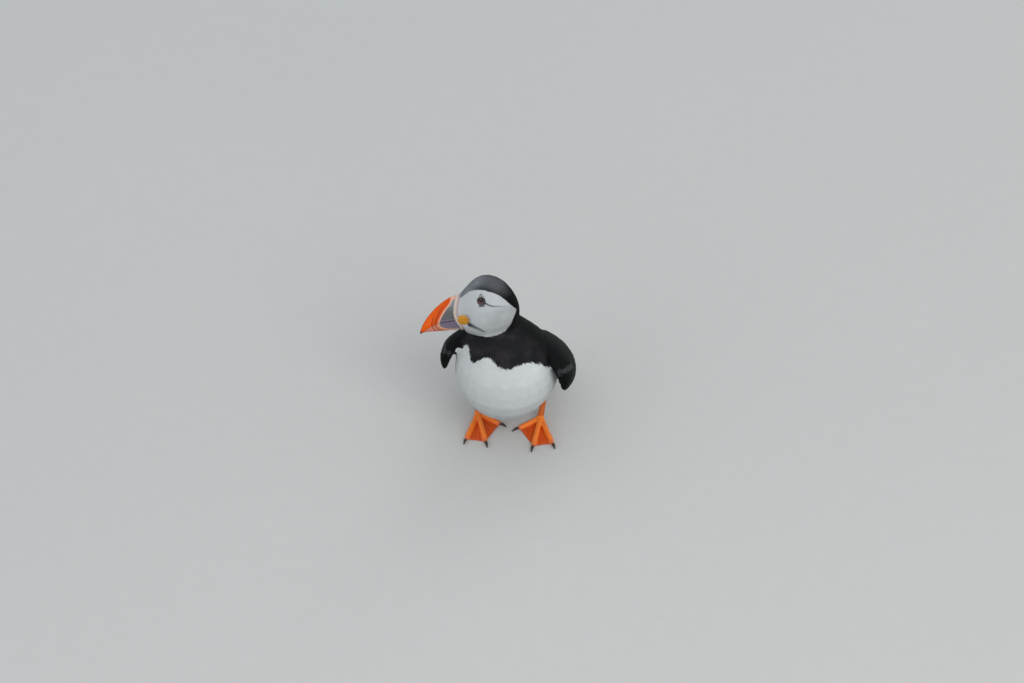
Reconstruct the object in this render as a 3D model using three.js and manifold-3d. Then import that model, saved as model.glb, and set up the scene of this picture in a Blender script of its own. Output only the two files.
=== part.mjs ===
// A life-size Atlantic puffin, standing with its head turned to its right and its wings let down at the
// wrists. Millimetres, +Z up. The breast faces -Y and the bird's left side is +X.
// The origin is on the floor, under the middle of the bird's box.

import * as THREE from "three";
import { mergeVertices } from "three/addons/utils/BufferGeometryUtils.js";
import Module from "manifold-3d";

const wasm = await Module();
wasm.setup();

// ---------- driving dimensions ----------

const GAP = 0.35; // left between neighbouring pieces
const SLACK = 0.06; // how far a surface may move where a cut leaves slivers
const REACH = 400; // larger than the bird, for cutting blocks

// The torso, from inside the head to the root of the tail. Each station is a slice through the body:
// back and belly are its [y, z] on the middle plane, half is its half width, aside its shift towards +X.
const TORSO = [
  { back: [10, 161], belly: [-18, 158], half: 15, aside: -15 },
  { back: [17, 147], belly: [-25, 142], half: 23, aside: -10 },
  { back: [23, 136], belly: [-31, 127], half: 30, aside: -4 },
  { back: [31, 124], belly: [-37, 108], half: 40, aside: -1 },
  { back: [41, 110], belly: [-40, 87], half: 47.5, aside: -0.5 },
  { back: [52, 97], belly: [-36, 60], half: 49.5, aside: -1.5 },
  { back: [64, 84], belly: [-20, 37], half: 43, aside: -3.5 },
  { back: [76, 71], belly: [10, 26], half: 36, aside: -3.5 },
  { back: [86, 60], belly: [42, 28], half: 25.5, aside: -2.5 },
  { back: [94, 51], belly: [68, 37], half: 15.5, aside: -1.5 },
  { back: [98, 46], belly: [86, 42], half: 7, aside: -1 },
];
const NECK_FOOT = { at: [-3, -4, 128], lean: [-0.15, -0.1, 1] }; // the cut between back and neck
const BACK_CUT = { at: [0, 0, 99.6], lean: [0, 0.64, 1] }; // the cut between trunk and back
const NECK_TOP = { at: [-14, -3, 141], lean: [-0.22, 0.1, 1] }; // the cut between neck and head

// The head has its own frame: -Y ahead along the bill, +X the bird's left, +Z up.
const HEAD = { at: [-18, -3, 163], pitch: 7.4, roll: -22.4, yaw: -68.3 };
// Slices of the feathered head: ahead of its middle, top and bottom heights, half width.
const SKULL = [
  { ahead: -29, top: -3, bottom: -10, half: 5 },
  { ahead: -26.5, top: 7, bottom: -18.5, half: 11.5 },
  { ahead: -18.5, top: 20.5, bottom: -27, half: 18.6 },
  { ahead: -7, top: 28, bottom: -30.5, half: 22.4 },
  { ahead: 4, top: 28.3, bottom: -30.5, half: 22 },
  { ahead: 14, top: 22.6, bottom: -28.5, half: 18.2 },
  { ahead: 22, top: 16, bottom: -24.4, half: 13.2 },
  { ahead: 28, top: 12.6, bottom: -20.4, half: 10 },
  { ahead: 34, top: 11, bottom: -18, half: 8.6 },
];
// Slices of the bill in the same frame. The ridge is the culmen and the keel the lower edge.
const BILL = [
  { ahead: 16, ridge: 13, keel: -18.5, half: 9.4 },
  { ahead: 26, ridge: 14, keel: -19, half: 8.9 },
  { ahead: 32, ridge: 13.4, keel: -18.7, half: 7.8 },
  { ahead: 40, ridge: 10, keel: -18, half: 6.6 },
  { ahead: 48, ridge: 5, keel: -17.2, half: 5.4 },
  { ahead: 55, ridge: -1, keel: -16.4, half: 4.2 },
  { ahead: 60, ridge: -6.4, keel: -16, half: 3.1 },
  { ahead: 63.4, ridge: -11.4, keel: -16.4, half: 1.9 },
  { ahead: 65, ridge: -14.6, keel: -17, half: 0.7 },
];
// Lines drawn on the bill's side, as [ahead, height]: the rim of the face, the pale chevron and the mouth.
const RIM = [[23, 20], [25.6, 13], [28.6, 6], [30, -1], [29, -8], [26.5, -14.5], [23.5, -24]];
const CHEVRON = [[30.5, 17], [33, 9.6], [41, 1.6], [47, -8], [45, -13], [37, -17], [24, -22]];
const MOUTH = [[16, -5.6], [26, -7], [38, -7.6], [47, -8.2], [55, -10.6], [60.5, -13.6], [68, -18.4]];
const RIM_WIDTH = 2;
const RIM_RISE = 0.9; // how far the rim stands out from the bill
// The edge of the dark cap and nape on the head's side, from over the bill to under the chin.
const CAP = [[45, 11], [23.5, 12.9], [13, 19], [2, 20], [-7, 16.6], [-16, 8.4], [-25.6, -5.8]];
const NAPE = [[-25.6, -5.8], [-22, -12.6], [-16, -21], [-12, -45]];
const EYE = { ahead: 5, up: 10.4, out: 17.4, radius: 3.8 };
// The yellow skin at the gape, turned about the upright to lie along the cheek.
const ROSETTE = { ahead: 22.6, up: -7, out: 11.4, long: 5.2, thick: 3.2, tall: 5, turn: 24 };
// The horny plates over and under each eye. outline is [back, up] from the eye, lean the slope of the
// cheek there and out the way from the eye's middle to a plate's back.
const PLATES = {
  thick: 1.2,
  bevel: 0.4,
  out: 2.4,
  upper: { outline: [[-2.3, 3.9], [2.9, 3.9], [1.3, 7.9]], lean: -24 },
  lower: { outline: [[-3, -5.4], [2.4, -5.4], [2.8, -4.1], [-2.8, -4.1]], lean: -14 },
};

// A wing let down at the wrist, from its front edge to its point. low and high are the section's two
// edges, thick its thickness and bow how far it bulges outwards.
const WING = [
  { low: [57.5, -13.4, 87], high: [50, -14.4, 105], thick: 4, bow: 1 },
  { low: [57.5, -10.5, 78.5], high: [43.5, -11.5, 114], thick: 11, bow: 5 },
  { low: [59.5, -1, 75.5], high: [37, -1, 121], thick: 13, bow: 7.5 },
  { low: [60.5, 13, 72.5], high: [31, 13, 121.5], thick: 12, bow: 7 },
  { low: [58, 31, 68], high: [25.5, 31, 113], thick: 10, bow: 5.5 },
  { low: [52, 51, 61], high: [21, 50, 96], thick: 6.6, bow: 4.5 },
  { low: [43.5, 71, 52.5], high: [17, 69, 77.5], thick: 4, bow: 3 },
  { low: [34, 88, 46], high: [14, 85, 63], thick: 3, bow: 2 },
];
const FLIGHT_CUT = { at: [0, 61, 80], lean: [-0.2, 1, 0.3] }; // where the flight feathers begin to show
// The flight feathers that show fan from a line inside the wing to a line of tips behind it.
const FLIGHT = {
  count: 7,
  rootLow: [50.5, 52, 62.5],
  rootHigh: [25, 44, 96],
  tipLow: [18, 109, 37],
  tipHigh: [16, 80, 63],
  bow: 4.6,
  width: 13,
  thick: 2.8,
};

// Roots and tips are those of the middle of the tail. rootSpread and spread are the ways from it to the
// outermost root and tip, short how much shorter the outermost is, and arch and rootArch how much lower.
const TAIL = {
  feathers: 8,
  root: [-1, 78, 52],
  tip: [-1, 120.5, 25.5],
  rootSpread: 7,
  spread: 17.4,
  short: 4.5,
  arch: 3.4,
  rootArch: 2.7,
  width: 13,
  thick: 2,
};

// Legs. heading turns the middle toe from straight ahead, positive towards +X.
const LEGS = {
  left: { side: 1, ankle: [24.6, 29.8], hock: [27, 36, 31], heading: 4 },
  right: { side: -1, ankle: [-33.5, 20.5], hock: [-31.5, 29, 31], heading: 26 },
};
// Each thigh runs from inside the flank to the hock: inward and back of the foot, height and radius.
const THIGH = {
  top: { inward: 8, back: -8, height: 53, radius: 13.5 },
  knee: { inward: 2, back: -2, height: 43, radius: 12 },
  hockRadius: 5,
};
const SHANK_RADIUS = 2.7;
const TOE_RADIUS = 2.7;
// Toes of a left foot: turned from the middle toe (positive outwards), length, claw length.
const TOES = {
  inner: { turn: -47, length: 24.5, claw: 6.5 },
  middle: { turn: 0, length: 38.5, claw: 7 },
  outer: { turn: 29, length: 36.5, claw: 6 },
};
// A web starts behind the ankle by heel, and meets the toes and fills out between them by these shares.
const WEB = { thick: 1.4, heel: 1.5, reach: 0.97, front: 0.97 };

const MATERIALS = {
  black: new THREE.MeshStandardMaterial({ color: 0x16181b, roughness: 0.75 }),
  cap: new THREE.MeshStandardMaterial({ color: 0x33353a, roughness: 0.75 }),
  face: new THREE.MeshStandardMaterial({ color: 0xc3c6c8, roughness: 0.85 }),
  white: new THREE.MeshStandardMaterial({ color: 0xe6e8e9, roughness: 0.85 }),
  orange: new THREE.MeshStandardMaterial({ color: 0xe8590c, roughness: 0.5 }),
  slate: new THREE.MeshStandardMaterial({ color: 0x575c69, roughness: 0.5 }),
  cream: new THREE.MeshStandardMaterial({ color: 0xe9d9b8, roughness: 0.6 }),
  yellow: new THREE.MeshStandardMaterial({ color: 0xe8a51c, roughness: 0.6 }),
  leg: new THREE.MeshStandardMaterial({ color: 0xf0641e, roughness: 0.55 }),
  claw: new THREE.MeshStandardMaterial({ color: 0x1d1a18, roughness: 0.4 }),
  eye: new THREE.MeshStandardMaterial({ color: 0x120d0b, roughness: 0.1 }),
};

// ---------- shapes ----------

const vec = (point) => new THREE.Vector3(...point);
const rad = THREE.MathUtils.degToRad;

// A smooth row of numbers at t, from 0 to 1, through the given rows.
function rowAt(rows, t) {
  const last = rows.length - 1;
  const place = Math.min(t * last, last - 1e-9);
  const i = Math.floor(place);
  const f = place - i;
  const [a, b, c, d] = [rows[Math.max(i - 1, 0)], rows[i], rows[i + 1], rows[Math.min(i + 2, last)]];
  return b.map((_, k) => {
    const slope = c[k] - a[k];
    const bend = 2 * a[k] - 5 * b[k] + 4 * c[k] - d[k];
    const turn = 3 * b[k] - a[k] - 3 * c[k] + d[k];
    return 0.5 * (2 * b[k] + slope * f + bend * f * f + turn * f * f * f);
  });
}

// A ring of points round a middle. power 2 is an ellipse, and more is boxier.
function ring({ middle, side, up, half, rise, drop, power = 2, count = 28 }) {
  const shaped = (v) => Math.sign(v) * Math.abs(v) ** (2 / power);
  return Array.from({ length: count }, (_, i) => {
    const angle = (2 * Math.PI * i) / count;
    const high = shaped(Math.sin(angle));
    return middle
      .clone()
      .addScaledVector(side, half * shaped(Math.cos(angle)))
      .addScaledVector(up, (high > 0 ? rise : drop) * high);
  });
}

function volumeOf(points, faces) {
  const cross = new THREE.Vector3();
  const wedge = (a, b, c) => a.dot(cross.crossVectors(b, c)) / 6;
  return faces.reduce((sum, [a, b, c]) => sum + wedge(points[a], points[b], points[c]), 0);
}

// One closed solid through a row of rings, capped at both ends.
function loft(rings) {
  const count = rings[0].length;
  const points = rings.flat();
  const middleOf = (r) => r.reduce((sum, p) => sum.add(p), new THREE.Vector3()).divideScalar(count);
  const first = points.push(middleOf(rings[0])) - 1;
  const last = points.push(middleOf(rings.at(-1))) - 1;
  const end = (rings.length - 1) * count;
  const faces = [];
  for (let i = 0; i < count; i++) {
    const j = (i + 1) % count;
    faces.push([first, j, i], [last, end + i, end + j]);
    for (let k = 0; k < end; k += count) {
      faces.push([k + i, k + j, k + count + j], [k + i, k + count + j, k + count + i]);
    }
  }
  if (volumeOf(points, faces) < 0) faces.forEach((face) => face.reverse());
  const geometry = new THREE.BufferGeometry().setFromPoints(points);
  geometry.setIndex(faces.flat());
  return solid(geometry);
}

// A closed geometry as a manifold solid.
function solid(geometry) {
  const bare = geometry.clone();
  bare.deleteAttribute("normal");
  bare.deleteAttribute("uv");
  const merged = mergeVertices(bare, 1e-4);
  const made = new wasm.Mesh({
    numProp: 3,
    vertProperties: merged.attributes.position.array,
    triVerts: new Uint32Array(merged.index.array),
  });
  return new wasm.Manifold(made);
}

function geometryOf(body) {
  const { vertProperties, triVerts } = body.getMesh();
  const geometry = new THREE.BufferGeometry();
  geometry.setAttribute("position", new THREE.BufferAttribute(vertProperties, 3));
  geometry.setIndex(new THREE.BufferAttribute(triVerts, 1));
  geometry.computeVertexNormals();
  return geometry;
}

// Everything on the side of a plane that its normal points to, moved along by shift.
function beyond({ at, lean }, shift = 0) {
  const normal = vec(lean).normalize();
  const turn = new THREE.Quaternion().setFromUnitVectors(vec([0, 0, 1]), normal);
  const middle = vec(at).addScaledVector(normal, REACH / 2 + shift);
  const block = new THREE.BoxGeometry(REACH, REACH, REACH);
  return solid(block.applyMatrix4(new THREE.Matrix4().compose(middle, turn, vec([1, 1, 1]))));
}

const union = (bodies) => bodies.reduce((all, body) => all.add(body));
// The largest body of a cut, without the slivers along its edges.
function largest(body) {
  const bodies = body.simplify(SLACK).decompose();
  return bodies.reduce((a, b) => (a.volume() > b.volume() ? a : b));
}

// A flat outline in the head's side view, [ahead, height], drawn across the head's whole width.
function acrossHead(outline) {
  const shape = new THREE.Shape(outline.map(([ahead, height]) => new THREE.Vector2(ahead, height)));
  const block = new THREE.ExtrudeGeometry(shape, { depth: REACH / 2, bevelEnabled: false });
  block.translate(0, 0, -REACH / 4);
  const basis = new THREE.Matrix4().makeBasis(vec([0, -1, 0]), vec([0, 0, 1]), vec([-1, 0, 0]));
  return solid(block.applyMatrix4(basis));
}

// A line on the bill's side as a smooth curve, moved ahead by shift.
function sideLine(points, shift = 0, steps = 9) {
  return Array.from({ length: steps + 1 }, (_, i) => {
    const [ahead, height] = rowAt(points, i / steps);
    return [ahead + shift, height];
  });
}

// All that lies above and behind the cap's edge.
const capRegion = (shift) => {
  const edge = [...sideLine(CAP), ...sideLine(NAPE, 0, 4).slice(1)];
  const far = REACH / 5;
  const around = [[-far, edge.at(-1)[1]], [-far, far], [edge[0][0], far]];
  return acrossHead([...edge.map(([ahead, height]) => [ahead - shift, height + shift]), ...around]);
};

const inFrontOf = (line) => acrossHead([...line, [REACH / 4, line.at(-1)[1]], [REACH / 4, line[0][1]]]);

// ---------- torso and head ----------

function torso(grow = 0) {
  const rows = TORSO.map(({ back, belly, half, aside }) => [...back, ...belly, half, aside]);
  const steps = 19;
  return loft(
    Array.from({ length: steps + 1 }, (_, i) => {
      const [backY, backZ, bellyY, bellyZ, half, aside] = rowAt(rows, i / steps);
      const up = new THREE.Vector3(0, backY - bellyY, backZ - bellyZ);
      const depth = up.length() / 2 + grow;
      return ring({
        middle: new THREE.Vector3(aside, (backY + bellyY) / 2, (backZ + bellyZ) / 2),
        side: vec([1, 0, 0]),
        up: up.normalize(),
        half: half + grow,
        rise: depth,
        drop: depth,
        power: 2.08,
        count: 26,
      });
    }),
  );
}

function headSlices(rows, steps, count, power, grow = 0) {
  return Array.from({ length: steps + 1 }, (_, i) => {
    const [ahead, top, bottom, half] = rowAt(rows, i / steps);
    return ring({
      middle: new THREE.Vector3(0, -ahead, (top + bottom) / 2),
      side: vec([1, 0, 0]),
      up: vec([0, 0, 1]),
      half: half + grow,
      rise: (top - bottom) / 2 + grow,
      drop: (top - bottom) / 2 + grow,
      power,
      count,
    });
  });
}

const skull = () => loft(headSlices(SKULL.map(Object.values), 13, 22, 2));
const billBody = (grow = 0) => loft(headSlices(BILL.map(Object.values), 13, 20, 1.75, grow));

const headGroup = new THREE.Group();
headGroup.position.set(...HEAD.at);
headGroup.rotation.set(rad(HEAD.pitch), rad(HEAD.roll), rad(HEAD.yaw), "ZXY");
headGroup.updateMatrix();
const toBody = headGroup.matrix.toArray();
const toHead = headGroup.matrix.clone().invert().toArray();

const eyeBall = (side, radius) => {
  const ball = new THREE.SphereGeometry(radius, 12, 8).rotateZ(Math.PI / 2);
  return solid(ball.translate(side * EYE.out, -EYE.ahead, EYE.up));
};

const rosette = (side, grow = 0) => {
  const { ahead, up, out, long, thick, tall, turn } = ROSETTE;
  const ball = new THREE.SphereGeometry(1, 10, 7).scale(thick + grow, long + grow, tall + grow);
  return solid(ball.rotateZ(side * rad(turn)).translate(side * out, -ahead, up));
};

function eyePlate(side, { outline, lean }, grow = 0) {
  const shape = new THREE.Shape(outline.map(([back, up]) => new THREE.Vector2(back, up)));
  const plate = new THREE.ExtrudeGeometry(shape, {
    depth: PLATES.thick,
    bevelEnabled: true,
    bevelThickness: PLATES.bevel + grow,
    bevelSize: PLATES.bevel + grow,
    bevelSegments: 1,
  });
  const basis = new THREE.Matrix4().makeBasis(vec([0, side, 0]), vec([0, 0, 1]), vec([side, 0, 0]));
  plate.applyMatrix4(basis).rotateY(side * rad(lean));
  return solid(plate.translate(side * (EYE.out + PLATES.out), -EYE.ahead, EYE.up));
}

// ---------- wings and tail ----------

// A thin feather blade from root to tip. It narrows over its last share, tipShare, to a blunt end.
function blade({ root, tip, across, width, thick, steps = 4, tipShare = 0.28, blunt = 0.17 }) {
  const along = tip.clone().sub(root);
  const side = across.clone().addScaledVector(along, -across.dot(along) / along.lengthSq()).normalize();
  const up = side.clone().cross(along).normalize();
  return loft(
    Array.from({ length: steps + 1 }, (_, i) => {
      const past = Math.max(1 - (1 - i / steps) / tipShare, 0);
      const round = Math.max(Math.sqrt(1 - past * past), blunt);
      const middle = root.clone().addScaledVector(along, i / steps);
      const rise = (thick * (1 + round)) / 4;
      return ring({ middle, side, up, half: (width / 2) * round, rise, drop: rise, power: 3, count: 4 });
    }),
  );
}

// The folded left wing's slab, as lens-shaped sections between its lower and upper edges.
function wingSlab() {
  const rows = WING.map(({ low, high, thick, bow }) => [...low, ...high, thick, bow]);
  const steps = 13;
  const half = 6;
  return loft(
    Array.from({ length: steps + 1 }, (_, i) => {
      const row = rowAt(rows, i / steps);
      const [low, high] = [vec(row.slice(0, 3)), vec(row.slice(3, 6))];
      const [thick, bow] = row.slice(6);
      const rise = high.clone().sub(low);
      const out = new THREE.Vector3(rise.z, 0, -rise.x).normalize();
      return Array.from({ length: 2 * half }, (_, k) => {
        const angle = (Math.PI * k) / half;
        const s = (1 - Math.cos(angle)) / 2;
        const offset = bow * Math.sin(Math.PI * s) + (thick / 2) * Math.sin(angle);
        return low.clone().addScaledVector(rise, s).addScaledVector(out, offset);
      });
    }),
  );
}

// The left wing's flight feathers, the longest and lowest first.
function flightFeathers() {
  const { count, rootLow, rootHigh, tipLow, tipHigh, bow, width, thick } = FLIGHT;
  const stack = vec(rootHigh).sub(vec(rootLow)).normalize();
  const out = new THREE.Vector3(stack.z, 0, -stack.x).normalize();
  const blades = Array.from({ length: count }, (_, k) => {
    const s = k / (count - 1);
    const bulge = bow * Math.sin(Math.PI * s);
    return blade({
      root: vec(rootLow).lerp(vec(rootHigh), s).addScaledVector(out, bulge),
      tip: vec(tipLow).lerp(vec(tipHigh), s).addScaledVector(out, bulge / 2),
      across: stack,
      width,
      thick,
    });
  });
  return union(blades);
}

function tail() {
  const { feathers, root, tip, rootSpread, spread, short, arch, rootArch, width, thick } = TAIL;
  const blades = Array.from({ length: feathers }, (_, i) => {
    const s = (2 * i) / (feathers - 1) - 1; // -1 on the right to 1 on the left
    const end = vec(tip).add(vec([s * spread, -short * s * s, -arch * s * s]));
    const start = vec(root).add(vec([s * rootSpread, 0, -rootArch * s * s]));
    return blade({ root: start, tip: end, across: vec([spread, 0, -arch * s]), width, thick });
  });
  return union(blades);
}

// ---------- legs and feet ----------

// A round limb through points, with a radius at each.
function limb(points, radii, steps = 10, count = 12) {
  const rows = points.map((p, i) => [...p, radii[i]]);
  const at = (t) => vec(rowAt(rows, Math.min(Math.max(t, 0), 1)));
  return loft(
    Array.from({ length: steps + 1 }, (_, i) => {
      const t = i / steps;
      const run = at(t + 0.02).sub(at(t - 0.02)).normalize();
      const side = new THREE.Vector3(0.13, 0.99, 0.05).cross(run).normalize();
      const radius = rowAt(rows, t)[3];
      const up = run.clone().cross(side);
      return ring({ middle: at(t), side, up, half: radius, rise: radius, drop: radius, count });
    }),
  );
}

function thigh({ side, ankle: [x, y], hock }) {
  const { top, knee, hockRadius } = THIGH;
  const points = [top, knee].map(({ inward, back, height }) => [x - side * inward, y + back, height]);
  return limb([...points, hock], [top.radius, knee.radius, hockRadius], 7, 14);
}

// From the hock down to just inside the foot, thicker at its joints.
function shank({ ankle: [x, y], hock }, grow = 0) {
  const middle = vec(hock).lerp(vec([x, y, 2 * TOE_RADIUS]), 0.5).toArray();
  const points = [hock, middle, [x, y, 2 * TOE_RADIUS], [x, y - 1.5, TOE_RADIUS]];
  const radii = [1.22, 1, 1.18, 0.96].map((share) => share * SHANK_RADIUS + grow);
  return limb(points, radii, 6, 10);
}

// Unit vector along the floor for a toe.
function toeWay({ side, heading }, { turn }) {
  const angle = rad(heading + side * turn);
  return new THREE.Vector3(Math.sin(angle), -Math.cos(angle), 0);
}

// A point on a toe: so far along it from the ankle, at a height.
const onToe = (leg, toe, far, height) =>
  new THREE.Vector3(...leg.ankle, height).addScaledVector(toeWay(leg, toe), far);

// A toe, swollen at its joints and flattened by the floor.
function toeBody(leg, toe) {
  const shares = [0, 0.22, 0.4, 0.58, 0.74, 0.88, 1];
  const radii = [1.15, 0.96, 1.06, 0.88, 0.98, 0.82, 0.6].map((r) => r * TOE_RADIUS);
  const heights = [1.5, 0.95, 0.86, 0.78, 0.74, 0.72, 0.66].map((h) => h * TOE_RADIUS);
  const points = shares.map((s, i) => onToe(leg, toe, s * toe.length, heights[i]).toArray());
  return limb(points, radii, 6, 6);
}

// The web between two toes, a little hollow along its front edge.
function webBody(leg, first, second) {
  const [a, b] = [first, second].map((toe) => onToe(leg, toe, WEB.reach * toe.length, 0));
  const root = onToe(leg, first, 0, 0);
  const middle = root.clone().lerp(a.clone().lerp(b, 0.5), WEB.front);
  const front = new THREE.QuadraticBezierCurve3(a, middle, b).getPoints(5);
  const heel = root.clone().addScaledVector(root.clone().sub(middle).normalize(), WEB.heel);
  const shape = new THREE.Shape([heel, ...front].map((p) => new THREE.Vector2(p.x, p.y)));
  return solid(new THREE.ExtrudeGeometry(shape, { depth: WEB.thick, bevelEnabled: false }));
}

function footBody(leg) {
  const { inner, middle, outer } = TOES;
  const pieces = [inner, middle, outer].map((toe) => toeBody(leg, toe));
  pieces.push(webBody(leg, inner, middle), webBody(leg, middle, outer));
  const ground = beyond({ at: [0, 0, 0], lean: [0, 0, -1] });
  return largest(union(pieces).subtract(ground).subtract(shank(leg, GAP)));
}

// A claw bowed up from the toe's end, with its point near the floor.
function clawBody(leg, toe) {
  const shares = [-0.12, 0.3, 0.72, 1];
  const heights = [1.9, 2.5, 1.9, 0.75];
  const radii = [1.5, 1.35, 0.9, 0.4];
  const points = shares.map((s, i) => onToe(leg, toe, toe.length + s * toe.claw, heights[i]).toArray());
  return limb(points, radii, 3, 6);
}

// ---------- the bird ----------

const bird = new THREE.Group();

function add(group, name, body, material) {
  const mesh = new THREE.Mesh(geometryOf(largest(body)), MATERIALS[material]);
  mesh.name = name;
  group.add(mesh);
}

const sides = { left: 1, right: -1 };

// Torso and head are modelled whole, then parted by two thin cuts.
const flesh = torso().add(skull().transform(toBody));
const headWhole = flesh.intersect(beyond(NECK_TOP, GAP / 2)).transform(toHead);
const neckWhole = flesh.subtract(beyond(NECK_TOP, -GAP / 2)).intersect(beyond(NECK_FOOT, GAP / 2));
const trunkWhole = flesh.subtract(beyond(NECK_FOOT, -GAP / 2));

const sockets = Object.values(sides).flatMap((side) => [
  eyePlate(side, PLATES.upper, GAP),
  eyePlate(side, PLATES.lower, GAP),
  eyeBall(side, EYE.radius + GAP),
  rosette(side, GAP),
]);
const head = largest(headWhole.subtract(inFrontOf(sideLine(RIM, -GAP))).subtract(union(sockets)));
add(headGroup, "head", head.subtract(capRegion(-GAP / 3)), "face");
add(headGroup, "crown", head.intersect(capRegion(GAP / 3)), "cap");

// The bill is one body, cut along the mouth, the chevron and the rim.
const bill = billBody().intersect(inFrontOf(sideLine(RIM, RIM_WIDTH + GAP)));
const below = (shift) => {
  const line = sideLine(MOUTH).map(([ahead, height]) => [ahead, height + shift]);
  return acrossHead([...line, [REACH / 5, -REACH / 5], [MOUTH[0][0], -REACH / 5]]);
};
const upperBill = bill.subtract(below(GAP / 2));
const lowerBill = bill.intersect(below(-GAP / 2));
const pastChevron = (shift) => inFrontOf(sideLine(CHEVRON, shift, 10));
add(headGroup, "bill_upper_tip", upperBill.intersect(pastChevron(GAP / 2)), "orange");
add(headGroup, "bill_upper_plate", upperBill.subtract(pastChevron(-GAP / 2)), "slate");
add(headGroup, "bill_lower_tip", lowerBill.intersect(pastChevron(GAP / 2)), "orange");
add(headGroup, "bill_lower_plate", lowerBill.subtract(pastChevron(-GAP / 2)), "slate");
const rim = billBody(RIM_RISE).intersect(inFrontOf(sideLine(RIM)));
const pastRim = inFrontOf(sideLine(RIM, RIM_WIDTH));
add(headGroup, "bill_rim", rim.subtract(pastRim).subtract(union(sockets)), "cream");

for (const [name, side] of Object.entries(sides)) {
  add(headGroup, `rosette_${name}`, rosette(side), "yellow");
  add(headGroup, `eye_${name}`, eyeBall(side, EYE.radius), "eye");
  for (const place of ["upper", "lower"]) {
    const plate = eyePlate(side, PLATES[place]).subtract(eyeBall(side, EYE.radius + GAP));
    add(headGroup, `eye_plate_${place}_${name}`, plate, "slate");
  }
}
bird.add(headGroup);
add(bird, "neck", neckWhole, "black");

// Tail, wings, thighs and shanks are cut back to stand just clear of the torso.
const clearOfTorso = torso(GAP);
add(bird, "trunk", trunkWhole.subtract(beyond(BACK_CUT, -GAP / 2)), "white");
add(bird, "back", trunkWhole.intersect(beyond(BACK_CUT, GAP / 2)), "black");
add(bird, "tail", tail().subtract(clearOfTorso), "black");

const arm = wingSlab().subtract(beyond(FLIGHT_CUT, -GAP / 2));
const hand = flightFeathers().intersect(beyond(FLIGHT_CUT, GAP / 2));
for (const [name, side] of Object.entries(sides)) {
  const sided = (body) => (side > 0 ? body : body.mirror([1, 0, 0]));
  add(bird, `wing_${name}`, sided(arm).subtract(clearOfTorso), "black");
  add(bird, `flight_feathers_${name}`, sided(hand).subtract(clearOfTorso), "black");
}

for (const [name, leg] of Object.entries(LEGS)) {
  const foot = footBody(leg);
  add(bird, `thigh_${name}`, thigh(leg).subtract(shank(leg, GAP)).subtract(clearOfTorso), "white");
  add(bird, `shank_${name}`, shank(leg).subtract(clearOfTorso), "leg");
  add(bird, `foot_${name}`, foot, "leg");
  for (const [toeName, toe] of Object.entries(TOES)) {
    const away = toeWay(leg, toe).multiplyScalar(GAP).toArray();
    add(bird, `claw_${toeName}_${name}`, clawBody(leg, toe).subtract(foot).translate(away), "claw");
  }
}

// The finished bird stands with the middle of its box over the origin.
bird.updateMatrixWorld(true);
const box = new THREE.Box3().setFromObject(bird, true);
const middle = box.getCenter(new THREE.Vector3());
bird.position.set(-middle.x, -middle.y, -box.min.z);

export default bird;
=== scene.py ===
import math

import bmesh
import bpy
import numpy as np
from mathutils import Matrix, Vector
from mathutils.bvhtree import BVHTree
from mathutils.kdtree import KDTree


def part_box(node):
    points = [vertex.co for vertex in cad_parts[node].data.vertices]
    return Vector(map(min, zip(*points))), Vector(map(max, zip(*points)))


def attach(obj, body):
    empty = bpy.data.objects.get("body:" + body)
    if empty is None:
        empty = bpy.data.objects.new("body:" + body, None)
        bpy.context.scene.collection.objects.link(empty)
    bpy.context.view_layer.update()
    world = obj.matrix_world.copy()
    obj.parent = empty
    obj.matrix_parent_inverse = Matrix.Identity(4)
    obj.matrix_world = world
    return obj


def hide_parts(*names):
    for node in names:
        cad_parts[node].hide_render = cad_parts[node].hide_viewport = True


# An Atlantic puffin, life size. Metres in Blender, +Z up, breast towards -Y, the bird's left towards +X.
# Lengths in the dictionaries are millimetres, but metres for the camera, floor and lamps. Colours are hex.
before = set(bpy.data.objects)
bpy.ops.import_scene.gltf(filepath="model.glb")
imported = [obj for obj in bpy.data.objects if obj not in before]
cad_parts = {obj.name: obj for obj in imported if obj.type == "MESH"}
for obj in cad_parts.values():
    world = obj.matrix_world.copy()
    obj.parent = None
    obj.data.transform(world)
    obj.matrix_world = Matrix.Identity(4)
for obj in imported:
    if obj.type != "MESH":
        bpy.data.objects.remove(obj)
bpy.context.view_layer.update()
mm = 0.001
chance = np.random.default_rng(11)


# Small tools

def smoothstep(value, low, high):
    t = np.clip((np.asarray(value, float) - low) / (high - low), 0, 1)
    return t * t * (3 - 2 * t)


def bell(value, width):
    return np.exp(-(value / width) ** 2)


def unit(vectors):
    return vectors / np.maximum(np.linalg.norm(vectors, axis=-1, keepdims=True), 1e-9)


def dot(a, b):
    return np.sum(a * b, axis=-1)


def curveAt(rows, t):  # a smooth row of numbers at t, from 0 to 1, through the given rows
    rows = np.asarray(rows, float)
    last = len(rows) - 1
    place = np.clip(np.asarray(t, float) * last, 0, last - 1e-9)
    i = place.astype(int)
    f = (place - i)[..., None]
    a, b, c, d = rows[np.maximum(i - 1, 0)], rows[i], rows[i + 1], rows[np.minimum(i + 2, last)]
    slope, bend, turn = c - a, 2 * a - 5 * b + 4 * c - d, 3 * b - a - 3 * c + d
    return 0.5 * (2 * b + slope * f + bend * f**2 + turn * f**3)


def line(points, steps=60):
    return curveAt(points, np.linspace(0, 1, steps + 1))


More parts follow.
